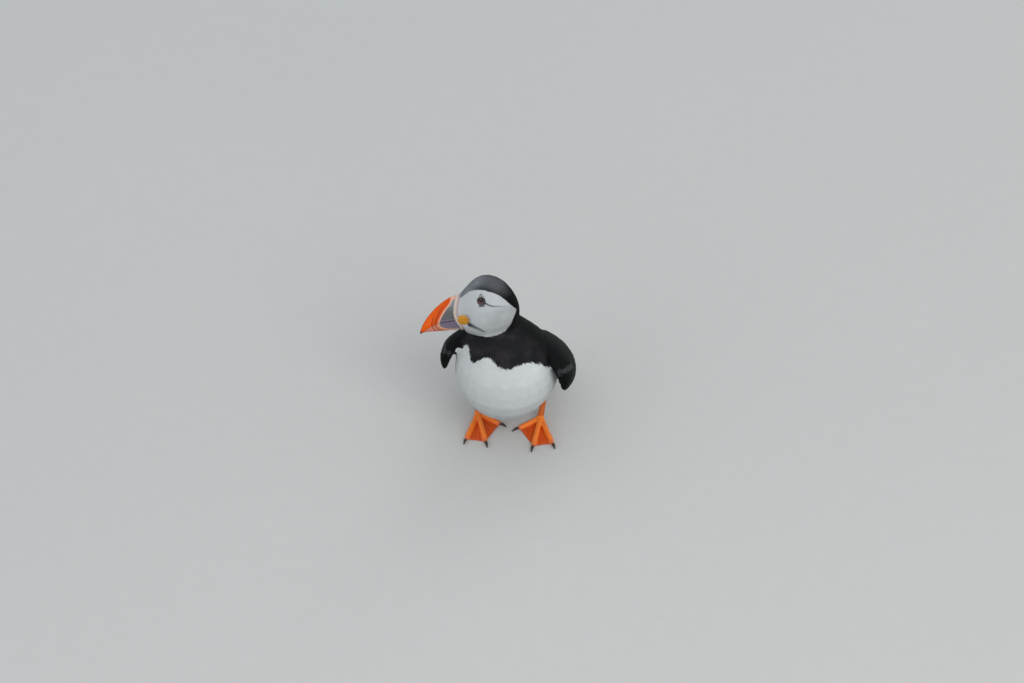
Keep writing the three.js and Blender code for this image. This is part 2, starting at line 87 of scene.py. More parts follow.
def fromLine(points, path):  # distance to a flat path, its side (1 on the right), and the share along it
    a, b = path[:-1], path[1:]
    along = b - a
    t = np.clip(np.einsum("nmk,mk->nm", points[:, None] - a, along) / dot(along, along), 0, 1)
    away = points[:, None] - (a + t[..., None] * along)
    distance = np.linalg.norm(away, axis=-1)
    nearest = distance.argmin(1)
    rows = np.arange(len(points))
    way, off = along[nearest], away[rows, nearest]
    side = np.sign(way[:, 1] * off[:, 0] - way[:, 0] * off[:, 1])
    share = (nearest + t[rows, nearest]) / len(a)
    return distance[rows, nearest], np.where(side == 0, 1, side), share


def inside(points, outline):  # whether flat points lie in a closed outline
    x, y = points[:, 0:1], points[:, 1:2]
    a, b = outline, np.roll(outline, -1, axis=0)
    crosses = (a[:, 1] > y) != (b[:, 1] > y)
    rise = np.where(b[:, 1] == a[:, 1], 1e-9, b[:, 1] - a[:, 1])
    return (crosses & (x < a[:, 0] + (y - a[:, 1]) * (b[:, 0] - a[:, 0]) / rise)).sum(1) % 2 == 1


def grain(points, size, seed=0):  # smooth pseudo-random numbers from -1 to 1, with features of that size
    points = np.asarray(points, float) / size + seed * 7.31
    cell = np.floor(points)
    f = points - cell
    f = f * f * (3 - 2 * f)
    total = 0
    for corner in np.ndindex(2, 2, 2):
        at = cell + corner
        value = np.sin(at @ np.array([127.1, 311.7, 74.7]) + seed) * 43758.5453
        weight = np.prod(np.where(np.array(corner) == 1, f, 1 - f), axis=1)
        total = total + weight * (value - np.floor(value))
    return 2 * total - 1


def deselect():
    if bpy.context.object and bpy.context.object.mode != "OBJECT":
        bpy.ops.object.mode_set(mode="OBJECT")
    bpy.ops.object.select_all(action="DESELECT")


def activate(piece):
    deselect()
    piece.select_set(True)
    bpy.context.view_layer.objects.active = piece


def editAll(piece):  # edit mode with everything selected
    activate(piece)
    bpy.ops.object.mode_set(mode="EDIT")
    bpy.ops.mesh.select_all(action="SELECT")


def grid(name, across, along):
    deselect()
    bpy.ops.mesh.primitive_grid_add(x_subdivisions=across, y_subdivisions=along, size=1)
    piece = bpy.context.object
    piece.name = piece.data.name = name
    return piece


def remesh(piece, voxel):
    activate(piece)
    made = piece.modifiers.new("Remesh", "REMESH")
    made.mode, made.voxel_size = "VOXEL", voxel * mm
    bpy.ops.object.modifier_apply(modifier=made.name)


def readOut(items, name, width, kind=np.float32):  # one property of all of a mesh's items, a row for each
    values = np.empty(len(items) * width, kind)
    items.foreach_get(name, values)
    return values.reshape(-1, width)


def placesOf(piece):
    return readOut(piece.data.vertices, "co", 3).astype(float)


def spotsOf(piece):  # its points in millimetres
    return placesOf(piece) / mm


def normalsOf(piece):
    return readOut(piece.data.vertices, "normal", 3).astype(float)


def moveTo(piece, places):
    piece.data.vertices.foreach_set("co", np.asarray(places, np.float32).ravel())
    piece.data.update()


def edgesOf(piece):
    return readOut(piece.data.edges, "vertices", 2, np.int32)


def facesOf(piece):
    piece.data.calc_loop_triangles()
    return readOut(piece.data.loop_triangles, "vertices", 3, np.int32)


def cornersOf(piece):
    return readOut(piece.data.loops, "vertex_index", 1, np.int32)[:, 0]


def relax(values, edges, rounds):  # evens numbers out between neighbouring points
    count = np.bincount(edges.ravel(), minlength=len(values))[:, None]
    for _ in range(rounds):
        total = np.zeros_like(values)
        for k in range(values.shape[1]):
            total[:, k] = np.bincount(edges[:, 0], values[edges[:, 1], k], len(values))
            total[:, k] += np.bincount(edges[:, 1], values[edges[:, 0], k], len(values))
        values = values + 0.5 * (total / np.maximum(count, 1) - values)
    return values


def attribute(piece, name, values):
    values = np.asarray(values, np.float32)
    kind, key = ("FLOAT", "value") if values.ndim == 1 else ("FLOAT_COLOR", "color")
    if values.ndim == 2:
        values = np.hstack([values, np.ones((len(values), 1), np.float32)])
    piece.data.attributes.new(name, kind, "POINT").data.foreach_set(key, values.ravel())


def linked(name, mesh):
    piece = bpy.data.objects.new(name, mesh)
    bpy.context.scene.collection.objects.link(piece)
    return piece


def meshPiece(name, places, faces):
    mesh = bpy.data.meshes.new(name)
    size = faces.shape[1]
    mesh.vertices.add(len(places))
    mesh.vertices.foreach_set("co", np.asarray(places, np.float32).ravel())
    mesh.loops.add(faces.size)
    mesh.loops.foreach_set("vertex_index", np.asarray(faces, np.int32).ravel())
    mesh.polygons.add(len(faces))
    mesh.polygons.foreach_set("loop_start", np.arange(0, faces.size, size, dtype=np.int32))
    mesh.update(calc_edges=True)
    return linked(name, mesh)


def cornerMap(piece, name, perPoint):  # a UV map given at each vertex
    layer = piece.data.uv_layers.new(name=name)
    layer.data.foreach_set("uv", np.asarray(perPoint, np.float32)[cornersOf(piece)].ravel())


def dress(piece, material, slot, *nodes):  # paints a piece and fixes it to the bird
    piece.data.materials.clear()
    piece.data.materials.append(material)
    piece.data.polygons.foreach_set("use_smooth", np.ones(len(piece.data.polygons), bool))
    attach(piece, "root")
    if nodes:
        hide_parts(*nodes)


def copyOfNodes(name, nodes, swell):  # merged copies of CAD nodes in one piece, grown by swell
    built = bmesh.new()
    for node in nodes:
        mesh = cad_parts[node].data.copy()
        part = bmesh.new()
        part.from_mesh(mesh)
        bmesh.ops.remove_doubles(part, verts=part.verts, dist=0.005 * mm)
        part.normal_update()
        for vertex in part.verts:
            vertex.co += vertex.normal * swell
        part.to_mesh(mesh)
        part.free()
        built.from_mesh(mesh)
        bpy.data.meshes.remove(mesh)
    mesh = bpy.data.meshes.new(name)
    built.to_mesh(mesh)
    built.free()
    mesh.materials.clear()
    return linked(name, mesh)


# Shader tools

def colour(code):
    parts = [int(code[i:i + 2], 16) / 255 for i in (0, 2, 4)]
    return tuple(c / 12.92 if c <= 0.04045 else ((c + 0.055) / 1.055) ** 2.4 for c in parts) + (1.0,)


def tints(codes):
    return {name: colour(code) for name, code in codes.items()}


class Wire:  # an output socket that turns sums into Math nodes
    def __init__(self, paint, socket):
        self.paint, self.socket = paint, socket

    def __add__(self, other):
        return self.paint.maths("ADD", self, other)

    def __radd__(self, other):
        return self.paint.maths("ADD", other, self)

    def __sub__(self, other):
        return self.paint.maths("SUBTRACT", self, other)

    def __rsub__(self, other):
        return self.paint.maths("SUBTRACT", other, self)

    def __mul__(self, other):
        return self.paint.maths("MULTIPLY", self, other)

    def __rmul__(self, other):
        return self.paint.maths("MULTIPLY", other, self)


class Paint:  # one material
    def __init__(self, name):
        self.material = bpy.data.materials.new(name)
        self.material.use_nodes = True
        self.tree = self.material.node_tree
        self.tree.nodes.clear()

    def node(self, kind, settings=None, sockets=None, output=0):
        made = self.tree.nodes.new(kind)
        for key, value in (settings or {}).items():
            setattr(made, key, value)
        for key, value in (sockets or {}).items():
            if isinstance(key, int):
                socket = made.inputs[key]
            else:
                socket = next(s for s in made.inputs if key in (s.identifier, s.name))
            if isinstance(value, Wire):
                self.tree.links.new(value.socket, socket)
            else:
                socket.default_value = value
        return Wire(self, made.outputs[output]) if made.outputs else None

    def maths(self, operation, first, second=0.5):
        return self.node("ShaderNodeMath", {"operation": operation}, {0: first, 1: second})

    def attribute(self, name, output=2):
        return self.node("ShaderNodeAttribute", {"attribute_name": name}, output=output)

    def channels(self, name):
        whole = self.attribute(name, 0)
        return [self.node("ShaderNodeSeparateColor", None, {0: whole}, k) for k in range(3)]

    def place(self):
        return self.node("ShaderNodeTexCoord", output=3)

    def mapped(self, name):
        return self.node("ShaderNodeUVMap", {"uv_map": name})

    def axes(self, vector):
        return [self.node("ShaderNodeSeparateXYZ", None, {0: vector}, k) for k in range(3)]

    def noise(self, place, scale, detail, roughness=0.55):
        sockets = {"Vector": place, "Scale": scale, "Detail": detail, "Roughness": roughness}
        return self.node("ShaderNodeTexNoise", None, sockets)

    def noises(self, *sorts):  # one for each scale and detail
        place = self.place()
        return [self.noise(place, *sort) for sort in sorts]

    def cells(self, place, scale):
        return self.node("ShaderNodeTexVoronoi", None, {"Vector": place, "Scale": scale})

    def stretched(self, place, scale):
        return self.node("ShaderNodeMapping", None, {"Vector": place, "Scale": scale})

    def ease(self, value, low, high, start=0.0, end=1.0):
        sockets = {"Value": value, "From Min": low, "From Max": high, "To Min": start, "To Max": end}
        return self.node("ShaderNodeMapRange", {"interpolation_type": "SMOOTHSTEP"}, sockets)

    def mix(self, share, first, second, blend="MIX"):
        sockets = {"Factor_Float": share, "A_Color": first, "B_Color": second}
        return self.node("ShaderNodeMix", {"data_type": "RGBA", "blend_type": blend}, sockets, 2)

    def bump(self, height, depth, strength):
        sockets = {"Height": height, "Distance": depth * mm, "Strength": strength}
        return self.node("ShaderNodeBump", None, sockets)

    def shaded(self, base, light):  # a colour times a grey level
        grey = self.node("ShaderNodeCombineColor", None, {0: light, 1: light, 2: light})
        return self.mix(1.0, base, grey, "MULTIPLY")

    def finish(self, colour, roughness, normal=None, **fixed):
        sockets = {"Base Color": colour, "Roughness": roughness}
        if normal:
            sockets["Normal"] = normal
        sockets.update({key.replace("_", " "): value for key, value in fixed.items()})
        shader = self.node("ShaderNodeBsdfPrincipled", None, sockets)
        self.node("ShaderNodeOutputMaterial", None, {"Surface": shader})
        return self.material


# Where things are

head = {  # its frame: -Y ahead along the bill, +X the bird's left, +Z up
    "pitch": 7.4,
    "roll": -22.4,
    "yaw": -68.3,
    "eye": (0, -5, 10.4),  # the middle between the eyes in that frame
    "fromBody": (-18, -3, 163),  # the head's middle, from the floor under the shoulders
}


def middleOf(node):
    low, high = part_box(node)
    return (low + high) / 2 / mm


headTurn = Matrix.Identity(3)
for axis, name in (("Z", "yaw"), ("X", "pitch"), ("Y", "roll")):
    headTurn = headTurn @ Matrix.Rotation(math.radians(head[name]), 3, axis)
eyesMiddle = (middleOf("eye_left") + middleOf("eye_right")) / 2
headAt = np.array(eyesMiddle - headTurn @ Vector(head["eye"]))
headTurn = np.array(headTurn)
bodyAt = headAt - np.array(head["fromBody"])
bodyAt[2] = 0


def toHead(places):  # places in the scene to the head's frame, as side, ahead, up
    return (places - headAt) @ headTurn * (1, -1, 1)


def headWay(local):  # a way in the head's frame to one in the scene
    return (np.asarray(local, float) * (1, -1, 1)) @ headTurn.T


def fromHead(local):  # side, ahead, up in the head's frame to a place in the scene
    return headWay(local) + headAt


# Markings, the same for skin and coat

marks = {  # the lines on the head are ahead and up in its own frame
    "capEdge": [(33, 11.5), (23.5, 12.7), (12.9, 19), (2, 19.9), (-11.2, 13.6), (-19.6, 3.4), (-25.7, -5)],
    "cheekEdge": [(-25.7, -5), (-19.7, -15.2), (-12.4, -23.4), (0.9, -26.6), (12, -25.6), (30, -22)],
    "stripe": [(19, -11.9), (14.5, -14.4), (7, -19.9)],  # the dusky stripe under the cheek
    "rim": [(23, 20), (25.6, 13), (28.6, 6), (30, -1), (29, -8), (26.5, -14.5), (23.5, -24)],  # bill's base
    "furrow": [(1.5, 8.6), (-3.9, 5.3), (-11.1, 2.9), (-20.5, -0.6)],  # the crease behind the eye
    "collarEdge": [  # across the breast: side and height of the black collar's lower edge
        (-50, 112.5), (-44, 113.8), (-37, 118), (-31.5, 121.6), (-29, 118), (-27.8, 113.6), (-24.6, 112.6),
        (-20, 116.4), (-14.8, 120.8), (-9.9, 123.6), (-5.4, 121.2), (1, 117), (10.3, 115.4), (20.1, 117.9),
        (28.1, 117.3), (37, 111.5), (42.6, 106.4), (48, 101),
    ],
    "armpit": 45.6,  # the breast's white runs this far out, on to the front of the wings
    "wrist": [  # across the left wing: outwards, back and up from the floor under the shoulders
        (62, 6, 98), (60.5, -3, 102.5), (57.5, -9.5, 104.5), (52, -13.5, 103.5),
    ],
    "backEdge": (99.6, 0.58),  # of the black on the sides: height at the shoulders, and fall towards the tail
    "capSheenAndDust": (0.34, 0.58),  # how much slate the crown takes, and how much more the brow: painted sheen, with some dust
    "strip": 0.75,  # how dark the strip above the face is
    "stripeWidth": (2.9, 1.3),  # half of the stripe's width at its upper end, and how much narrower it gets
    "crease": (0.95, 0.8),  # how dark the painted shade in the crease is at the eye, and how much it fades backwards
    "cheek": 0.2,  # the grey low on the cheek: greyer feathers, with painted shade
    "underwing": 0.3,  # the grey on the wings' inner sides
    "wristHighlight": 0.48,  # and a painted highlight across the wrists
}
capEdge, cheekEdge = line(marks["capEdge"]), line(marks["cheekEdge"])
stripe, rimLine, furrow = line(marks["stripe"]), line(marks["rim"]), line(marks["furrow"])
collarEdge, wristLine = line(marks["collarEdge"], 120), line(marks["wrist"], 24)
faceOutline = np.vstack([capEdge, cheekEdge[1:], [(60, -20), (60, 12)]])


def overCollar(body):  # height over the edge between the black above and the white below
    height, fall = marks["backEdge"]
    frontEdge = np.interp(body[:, 0], collarEdge[:, 0], collarEdge[:, 1])
    sideEdge = height - fall * body[:, 1]
    return body[:, 2] - frontEdge - smoothstep(body[:, 1], -15, -7) * (sideEdge - frontEdge)


def fromWrist(body):  # distance to the line across the nearer wing's wrist
    mirrored = np.column_stack([np.abs(body[:, 0]), body[:, 1:]])
    return np.linalg.norm(mirrored[:, None] - wristLine, axis=2).min(1)


def markingsAt(places, normals, onHead, onWing):  # shares of black, slate and dusk, and of face and underwing
    local = toHead(places)
    flat = local[:, 1:]
    ahead, up = flat.T
    face = inside(flat, faceOutline) & (onHead > 0.3)
    body = places - bodyAt
    ragged = grain(places, 2.2, 3) * 0.5 + grain(places, 5, 4) * 0.5
    armpit = (np.abs(body[:, 0]) < marks["armpit"]) & (body[:, 1] < -4)
    covered = (onHead > 0.5) | ((onWing > 0.5) & ~armpit)
    black = np.where(covered, 1.0, smoothstep(overCollar(body) + ragged, -0.5, 0.5))
    black = np.where(face, 0.0, black)
    capWay, _, _ = fromLine(flat, capEdge)
    forward = ahead + 0.4 * (up - 20) + 2 * grain(places, 8, 6)
    crown, brow = marks["capSheenAndDust"]
    # the crown's slate is painted sheen with some dust, strongest on the brow and only high on the head
    capSheenAndDust = crown * smoothstep(forward, -29, -12) + brow * smoothstep(forward, -4, 16)
    strip = marks["strip"] * (1 - smoothstep(capWay, 0.5, 5)) * (1 - smoothstep(ahead, 2, 16))
    slate = np.where(onHead > 0.5, capSheenAndDust * smoothstep(up, 2, 10) * (1 - strip), 0) * black
    deepBody = np.maximum(onWing, smoothstep(body[:, 1], -18, 4))
    deep = deepBody * (1 - onHead) + onHead * smoothstep(-ahead, 8, 20)
    stripeWay, _, along = fromLine(flat, stripe)
    creaseWay, _, along2 = fromLine(flat, furrow)
    wide, narrowing = marks["stripeWidth"]
    width = wide - narrowing * along
    dusk = (1 - smoothstep(stripeWay, 0.4 * width, width)) * (1 - 0.45 * along)
    # the crease behind the eye is darkened with painted shade
    dark, fading = marks["crease"]
    crease = (1 - smoothstep(creaseWay, 0.45 - 0.2 * along2, 1.35 - 0.5 * along2)) * (dark - fading * along2)
    streaks = 0.5 + 0.5 * grain(local * (1, 0.35, 1.3), 3.2, 7)
    # low on the rear cheek: greyer feathers with painted shade, in streaks
    cheek = marks["cheek"] * smoothstep(-ahead, -9, 12) * smoothstep(-up, -6, 3) * (0.55 + 0.9 * streaks)
    grey = np.where(black > 0.5, deep, np.clip(np.maximum(np.maximum(dusk, crease), cheek), 0, 1) * face)
    inwards = -normals[:, 0] * np.sign(body[:, 0]) - 0.35 * normals[:, 2]
    inner = smoothstep(inwards, 0.45, 0.8) * onWing * marks["underwing"]
    # a painted highlight across the wrists, in the underwing's grey
    wristWay = fromWrist(body) + 1.2 * grain(places, 2.5, 9)
    inner = np.maximum(inner, marks["wristHighlight"] * (1 - smoothstep(wristWay, 1.5, 4.2)) * onWing)
    return np.stack([black, slate, grey], 1), np.stack([face.astype(float), inner], 1)


# The skin

skinPlan = {
    "voxel": 1.05,
    "swell": 0.32,
    "smoothing": 10,
    "blending": 14,  # rounds of evening out between one part of the bird and the next
    "depth": {"head": 0.5, "neck": 0.95, "body": 0.95, "wing": 0.75, "thigh": 0.9},  # under the CAD's surface
    "seat": (5.5, 7, 25),  # round each rosette: radius filled in, radius left alone, and rounds
    "crease": (0.55, 0.8),  # depth and width of the crease behind the eye
}
fleshNodes = {
    "head": "head", "crown": "head", "neck": "neck", "back": "body", "trunk": "body",
    "wing_left": "wing", "wing_right": "wing", "thigh_left": "thigh", "thigh_right": "thigh",
}


def nearestKind(places):  # which kind of flesh node is nearest to each place
    corners, polygons, kinds = [], [], []
    for node, kind in fleshNodes.items():
        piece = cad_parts[node]
        faces = facesOf(piece)
        start = sum(len(c) for c in corners)
        corners.append(spotsOf(piece))
        polygons.append(faces + start)
        kinds += [kind] * len(faces)
    tree = BVHTree.FromPolygons(np.vstack(corners).tolist(), np.vstack(polygons).tolist())
    return np.array([kinds[tree.find_nearest(place)[2]] for place in places.tolist()])


skin = copyOfNodes("skin", fleshNodes, skinPlan["swell"] * mm)
remesh(skin, skinPlan["voxel"])
kinds = nearestKind(spotsOf(skin))
edges = edgesOf(skin)
shares = {kind: (kinds == kind).astype(float) for kind in ("head", "neck", "body", "wing", "thigh")}
blended = relax(np.stack(list(shares.values()), 1), edges, skinPlan["blending"])
blended = dict(zip(shares, blended.T))
places = relax(spotsOf(skin), edges, skinPlan["smoothing"])
moveTo(skin, places * mm)
depth = sum(blended[kind] * skinPlan["depth"][kind] for kind in blended) + skinPlan["swell"]
for _ in range(2):  # sink in two goes, so that thin places keep their shape
    places = places - normalsOf(skin) * depth[:, None] / 2
    moveTo(skin, places * mm)
rosetteMiddles = [np.array(middleOf(f"rosette_{name}")) for name in ("left", "right")]
rosetteWay = np.min([np.linalg.norm(places - middle, axis=1) for middle in rosetteMiddles], axis=0)
near, far, rounds = skinPlan["seat"]
hollow = (1 - smoothstep(rosetteWay, near, far))[:, None]  # the seats of the rosettes are filled in
for _ in range(rounds):
    places = places + (relax(places, edges, 4) - places) * hollow
moveTo(skin, places * mm)
local = toHead(places)
creaseWay, _, along = fromLine(local[:, 1:], furrow)
deep, wide = skinPlan["crease"]
crease = deep * bell(creaseWay, wide) * (1 - 0.7 * along) * blended["head"] * (np.abs(local[:, 0]) > 8)
places = places - normalsOf(skin) * crease[:, None]
moveTo(skin, places * mm)
print("skin:", len(places), "points")


# The lie and size of the feathers

lie = {  # the way feathers point, before they are laid on the surface
    "head": headWay((0, -1, -0.5)),
    "neck": (0, 0.35, -0.95),
    "body": (0, 0.6, -0.8),
    "wing": (0, 0.86, -0.47),
    "thigh": (0, 0.25, -0.97),
}
inwardLie = 0.28  # the wings' feathers point towards the tail's middle
sizes = {  # length, width, spacing and height of the feathers on each part
    "head": (2.4, 0.95, 0.56, 0.18),
    "neck": (4.6, 1.9, 1.05, 0.32),
    "body": (6.6, 3.0, 1.4, 0.32),
    "wing": (7.0, 3.5, 1.6, 0.32),
    "thigh": (4.4, 1.9, 1.05, 0.24),
    "breast": (5.8, 1.9, 1.0, 0.17),
}
sizePlan = {
    "tail": 0.75,  # how much longer feathers are towards the tail
    "tailShares": (1.0, 0.8, 0.7),  # of that for length, width and spacing
    "muzzle": 0.3,  # how much smaller they are round the eye and at the bill
    "finer": {"collar": 0.35, "joint": 0.35, "wrist": 0.3, "armpit": 0.5, "sharp": 0.5},  # and elsewhere
    "lower": 0.45,  # how much flatter they lie on the wings' thin edges
}
bareHead = {"eye": 3.75, "rosette": 3.0}  # how far round them the face has no feathers
skinTree = BVHTree.FromPolygons(places.tolist(), facesOf(skin).tolist())
normals = normalsOf(skin)
body = places - bodyAt
flow = sum(blended[kind][:, None] * np.array(way, float) for kind, way in lie.items())
flow[:, 0] -= inwardLie * np.sign(body[:, 0]) * blended["wing"]
downBreast = smoothstep(-0.8 * normals[:, 1] - 0.6 * normals[:, 2], 0.0, 0.5) * blended["body"]
flow = flow + (1.2 * np.cross((1.0, 0, 0), normals) - flow) * downBreast[:, None]
trailing = dot(unit(flow), normals) * (blended["wing"] > 0.4)  # near 1 on the rear edges of the wings
turning = 1 - np.linalg.norm(relax(normals, edges, 8), axis=1)
sharp = smoothstep(turning, 0.06, 0.25) * smoothstep(blended["wing"], 0.3, 0.7)  # near 1 on their thin edges
flow = unit(flow - normals * dot(flow, normals)[:, None])
flow = relax(flow, edges, 12)
flow = unit(flow - normals * dot(flow, normals)[:, None])
markColours, zones = markingsAt(places, normals, blended["head"], blended["wing"])
hem = smoothstep(sharp, 0.1, 0.5) * smoothstep(body[:, 1], 0, 12)  # the wings' rear edges stay black
zones[:, 1] *= 1 - hem
headShare = smoothstep(blended["head"], 0.05, 0.35)[:, None]
size = sum(blended[kind][:, None] * np.array(sizes[kind]) for kind in blended if kind != "head")
size = size / np.maximum(1 - blended["head"], 0.01)[:, None] * (1 - headShare)
size = size + headShare * np.array(sizes["head"])
pale = blended["body"] * (1 - markColours[:, 0])
size = size + pale[:, None] * (np.array(sizes["breast"]) - sizes["body"])
towardsTail = smoothstep(body[:, 1] - 0.6 * (body[:, 2] - 60), 10, 80) * (blended["body"] + blended["wing"])
size[:, :3] *= 1 + sizePlan["tail"] * towardsTail[:, None] * sizePlan["tailShares"]
_, ahead, up = toHead(places).T
eyeWay = np.linalg.norm(np.stack([ahead + head["eye"][1], up - head["eye"][2]]), axis=0)
muzzle = np.minimum(smoothstep(eyeWay, 3, 12), smoothstep(26 - ahead, -2, 12))
size[:, :3] *= 1 - sizePlan["muzzle"] * blended["head"][:, None] * (1 - muzzle[:, None])
wing = blended["wing"]
pit = (1 - smoothstep(np.abs(body[:, 0]) - marks["armpit"], 0, 4)) * smoothstep(-body[:, 1], 0, 4)
finer = {
    "collar": (1 - smoothstep(np.abs(overCollar(body) - 2), 1, 8)) * blended["body"],
    "joint": smoothstep(4 * wing * (1 - wing), 0.1, 0.7) * smoothstep(-body[:, 1], -30, 0),
    "wrist": (1 - smoothstep(fromWrist(body), 3, 9)) * wing,
    "armpit": pit * wing,
    "sharp": sharp,
}
finer = np.max([sizePlan["finer"][name] * share for name, share in finer.items()], axis=0)
size[:, :3] *= 1 - finer[:, None]
size[:, 3] *= 1 - sizePlan["lower"] * sharp


# One vane, modelled once

def modelVane(name, outline, across, ridge, belly, crowd=1, shaft=0):  # a closed vane of length and width 1
    vane = grid(name, across, len(outline) - 1)
    rows = np.round((placesOf(vane)[:, 1] + 0.5) * (len(outline) - 1)).astype(int)
    x = placesOf(vane)[:, 0] * 2
    along, half, fringe = np.array(outline, float)[rows].T
    odd = np.round((x + 1) * across / 2).astype(int) % 2 == 1
    zigzag = np.where(odd, 1.0, -1.0) * (across > 2)
    x = np.sign(x) * np.abs(x) ** crowd
    y = along - fringe * x**2 + 0.35 * fringe * zigzag
    height = ridge * (1 - x**2) + shaft * np.exp(-(x / 0.08) ** 2)
    moveTo(vane, np.stack([x * half, y, height * (half > 0.05)], 1))
    editAll(vane)
    bpy.ops.mesh.duplicate()
    bpy.ops.mesh.flip_normals()
    shaped = bmesh.from_edit_mesh(vane.data)
    inner = [v for v in shaped.verts if v.select and not v.is_boundary]
    for vertex in shaped.verts:
        vertex.select = False
    for vertex in inner:
        vertex.select = True
    shaped.select_flush(True)
    bmesh.update_edit_mesh(vane.data)
    bpy.ops.transform.translate(value=(0, 0, -belly))
    bpy.ops.mesh.select_all(action="SELECT")
    bpy.ops.mesh.remove_doubles(threshold=1e-5)
    bpy.ops.object.mode_set(mode="OBJECT")
    corners = np.array([list(face.vertices) for face in vane.data.polygons])
    shape = placesOf(vane)
    bpy.data.objects.remove(vane)
    inLine = np.all(np.abs(shape[:, None, :2] - shape[None, :, :2]) < 1e-4, axis=2)
    under = (inLine & (shape[None, :, 2] > shape[:, None, 2] + 1e-5)).any(1)  # points with one over them
    return shape, corners, under


vanePlans = {  # rows of along, half width and fringe, then columns, ridge's height and belly's depth
    "velvet": ([(0, 0.22, 0), (0.55, 0.5, 0.06), (1, 0.2, 0.14)], 2, 0.16, 0.1),
    "contour": ([(0, 0.2, 0), (0.4, 0.47, 0), (0.78, 0.5, 0.1), (1, 0.24, 0.12)], 2, 0.1, 0.07),
    "soft": ([(0, 0.2, 0), (0.6, 0.5, 0.06), (1, 0.3, 0.16)], 4, 0.06, 0.05),
}
vanes = {name: modelVane(name, *plan) for name, plan in vanePlans.items()}
for name, (shape, corners, _) in vanes.items():
    print("vane", name, len(shape), "points", len(corners), "faces")


# Plumage paint

plumageColours = {
    "belly": "e0e4e6",
    "face": "ccd0d3",
    "black": "1f2123",
    "brown": "383336",
    "deep": "0b0d0e",
    # slate is painted sheen with some dust, on the crown
    "slate": "8a8f95",
    # dusk: the stripe's grey, and painted shade in the crease and low on the cheek
    "dusk": "3c4145",
    "underwing": "5f6062",
}


def plumagePaint():
    paint = Paint("plumage")
    black, slate, dusk = paint.channels("marks")
    face, underwing, tone = paint.channels("zones")
    along = paint.attribute("along")
    tint = tints(plumageColours)
    cloud, fine, patches = paint.noises((90.0, 4.0), (1400.0, 2.0), (75.0, 3.0))
    brown = paint.ease(patches, 0.42, 0.66) * 0.7
    pale = paint.mix(face, tint["belly"], tint["face"])
    # dusk: the stripe, and painted shade in the crease and on the lower cheek
    pale = paint.mix(dusk, pale, tint["dusk"])
    dark = paint.mix(brown, tint["black"], tint["brown"])
    dark = paint.mix(dusk, dark, tint["deep"])
    # the crown's slate: painted sheen with some dust
    dark = paint.mix(slate, dark, tint["slate"])
    dark = paint.mix(underwing * paint.ease(along, 0.2, 0.95, 0.35, 1.0), dark, tint["underwing"])
    base = paint.mix(black, pale, dark)
    vary = 0.3 + 0.7 * black  # pale feathers are more alike
    single = 0.2 * (tone - 0.5) + 0.16 * (along - 0.5)  # from vane to vane, and from root to tip
    light = 0.95 + vary * single + 0.12 * (cloud - 0.5) + 0.1 * (fine - 0.5)
    across, down, _ = paint.axes(paint.mapped("vane"))
    barbs = paint.maths("PINGPONG", down * 9.0 + paint.maths("ABSOLUTE", across) * 5.0)
    normal = paint.bump(barbs * 0.6 + fine, 0.12, 0.5)
    roughness = 0.78 - 0.16 * black + 0.1 * (fine - 0.5)
    gloss = {"Specular_IOR_Level": 0.09, "Sheen_Weight": 0.02, "Sheen_Roughness": 0.5}
    return paint.finish(paint.shaded(base, light), roughness, normal, **gloss)


plumage = plumagePaint()


def wearMarks(piece, colours, zoneShares, tone, along):  # what the plumage paint reads
    attribute(piece, "marks", colours)
    attribute(piece, "zones", np.column_stack([zoneShares, tone]))
    attribute(piece, "along", along)


wearMarks(skin, markColours, zones, np.full(len(places), 0.4), np.full(len(places), 0.2))
editAll(skin)
bpy.ops.uv.smart_project(angle_limit=math.radians(70), island_margin=0.002)
bpy.ops.object.mode_set(mode="OBJECT")
unwrapped = skin.data.uv_layers.active
unwrapped.name = "OFBake"
pointMap = np.zeros((len(places), 2))
pointMap[cornersOf(skin)] = readOut(unwrapped.data, "uv", 2)
cornerMap(skin, "vane", np.zeros((len(places), 2)))
dress(skin, plumage, "white", *fleshNodes)
print("skin unwrapped")


# The coat

coatPlan = {
    "tries": 5,  # places tried for each root that could fit
    "shown": 0.65,  # how far along a feather the part lies that isn't covered
    "vary": {  # spread and limits
        "length": (0.09, 0.75, 1.25), "width": (0.06, 0.8, 1.2), "height": (0.16, 0.5, 1.6),
    },
    "steps": 3,  # along the skin from root to tip
    "swing": 7,  # degrees
    "tilt": 0.035,  # spread of their slope from side to side
    "sunk": 0.25,  # how deep the roots lie
    "least": {"body": 0.5, "wing": 0.74},  # the sharpest bend that a vane may follow, as a cosine
    "reach": 0.8,  # and how much of its length has to be left from end to end
    "relief": (0.1, 0.16),  # how much each vane is shaded by itself, and how much more where it is black
    "patch": 0.003,  # its size on the skin's map
}


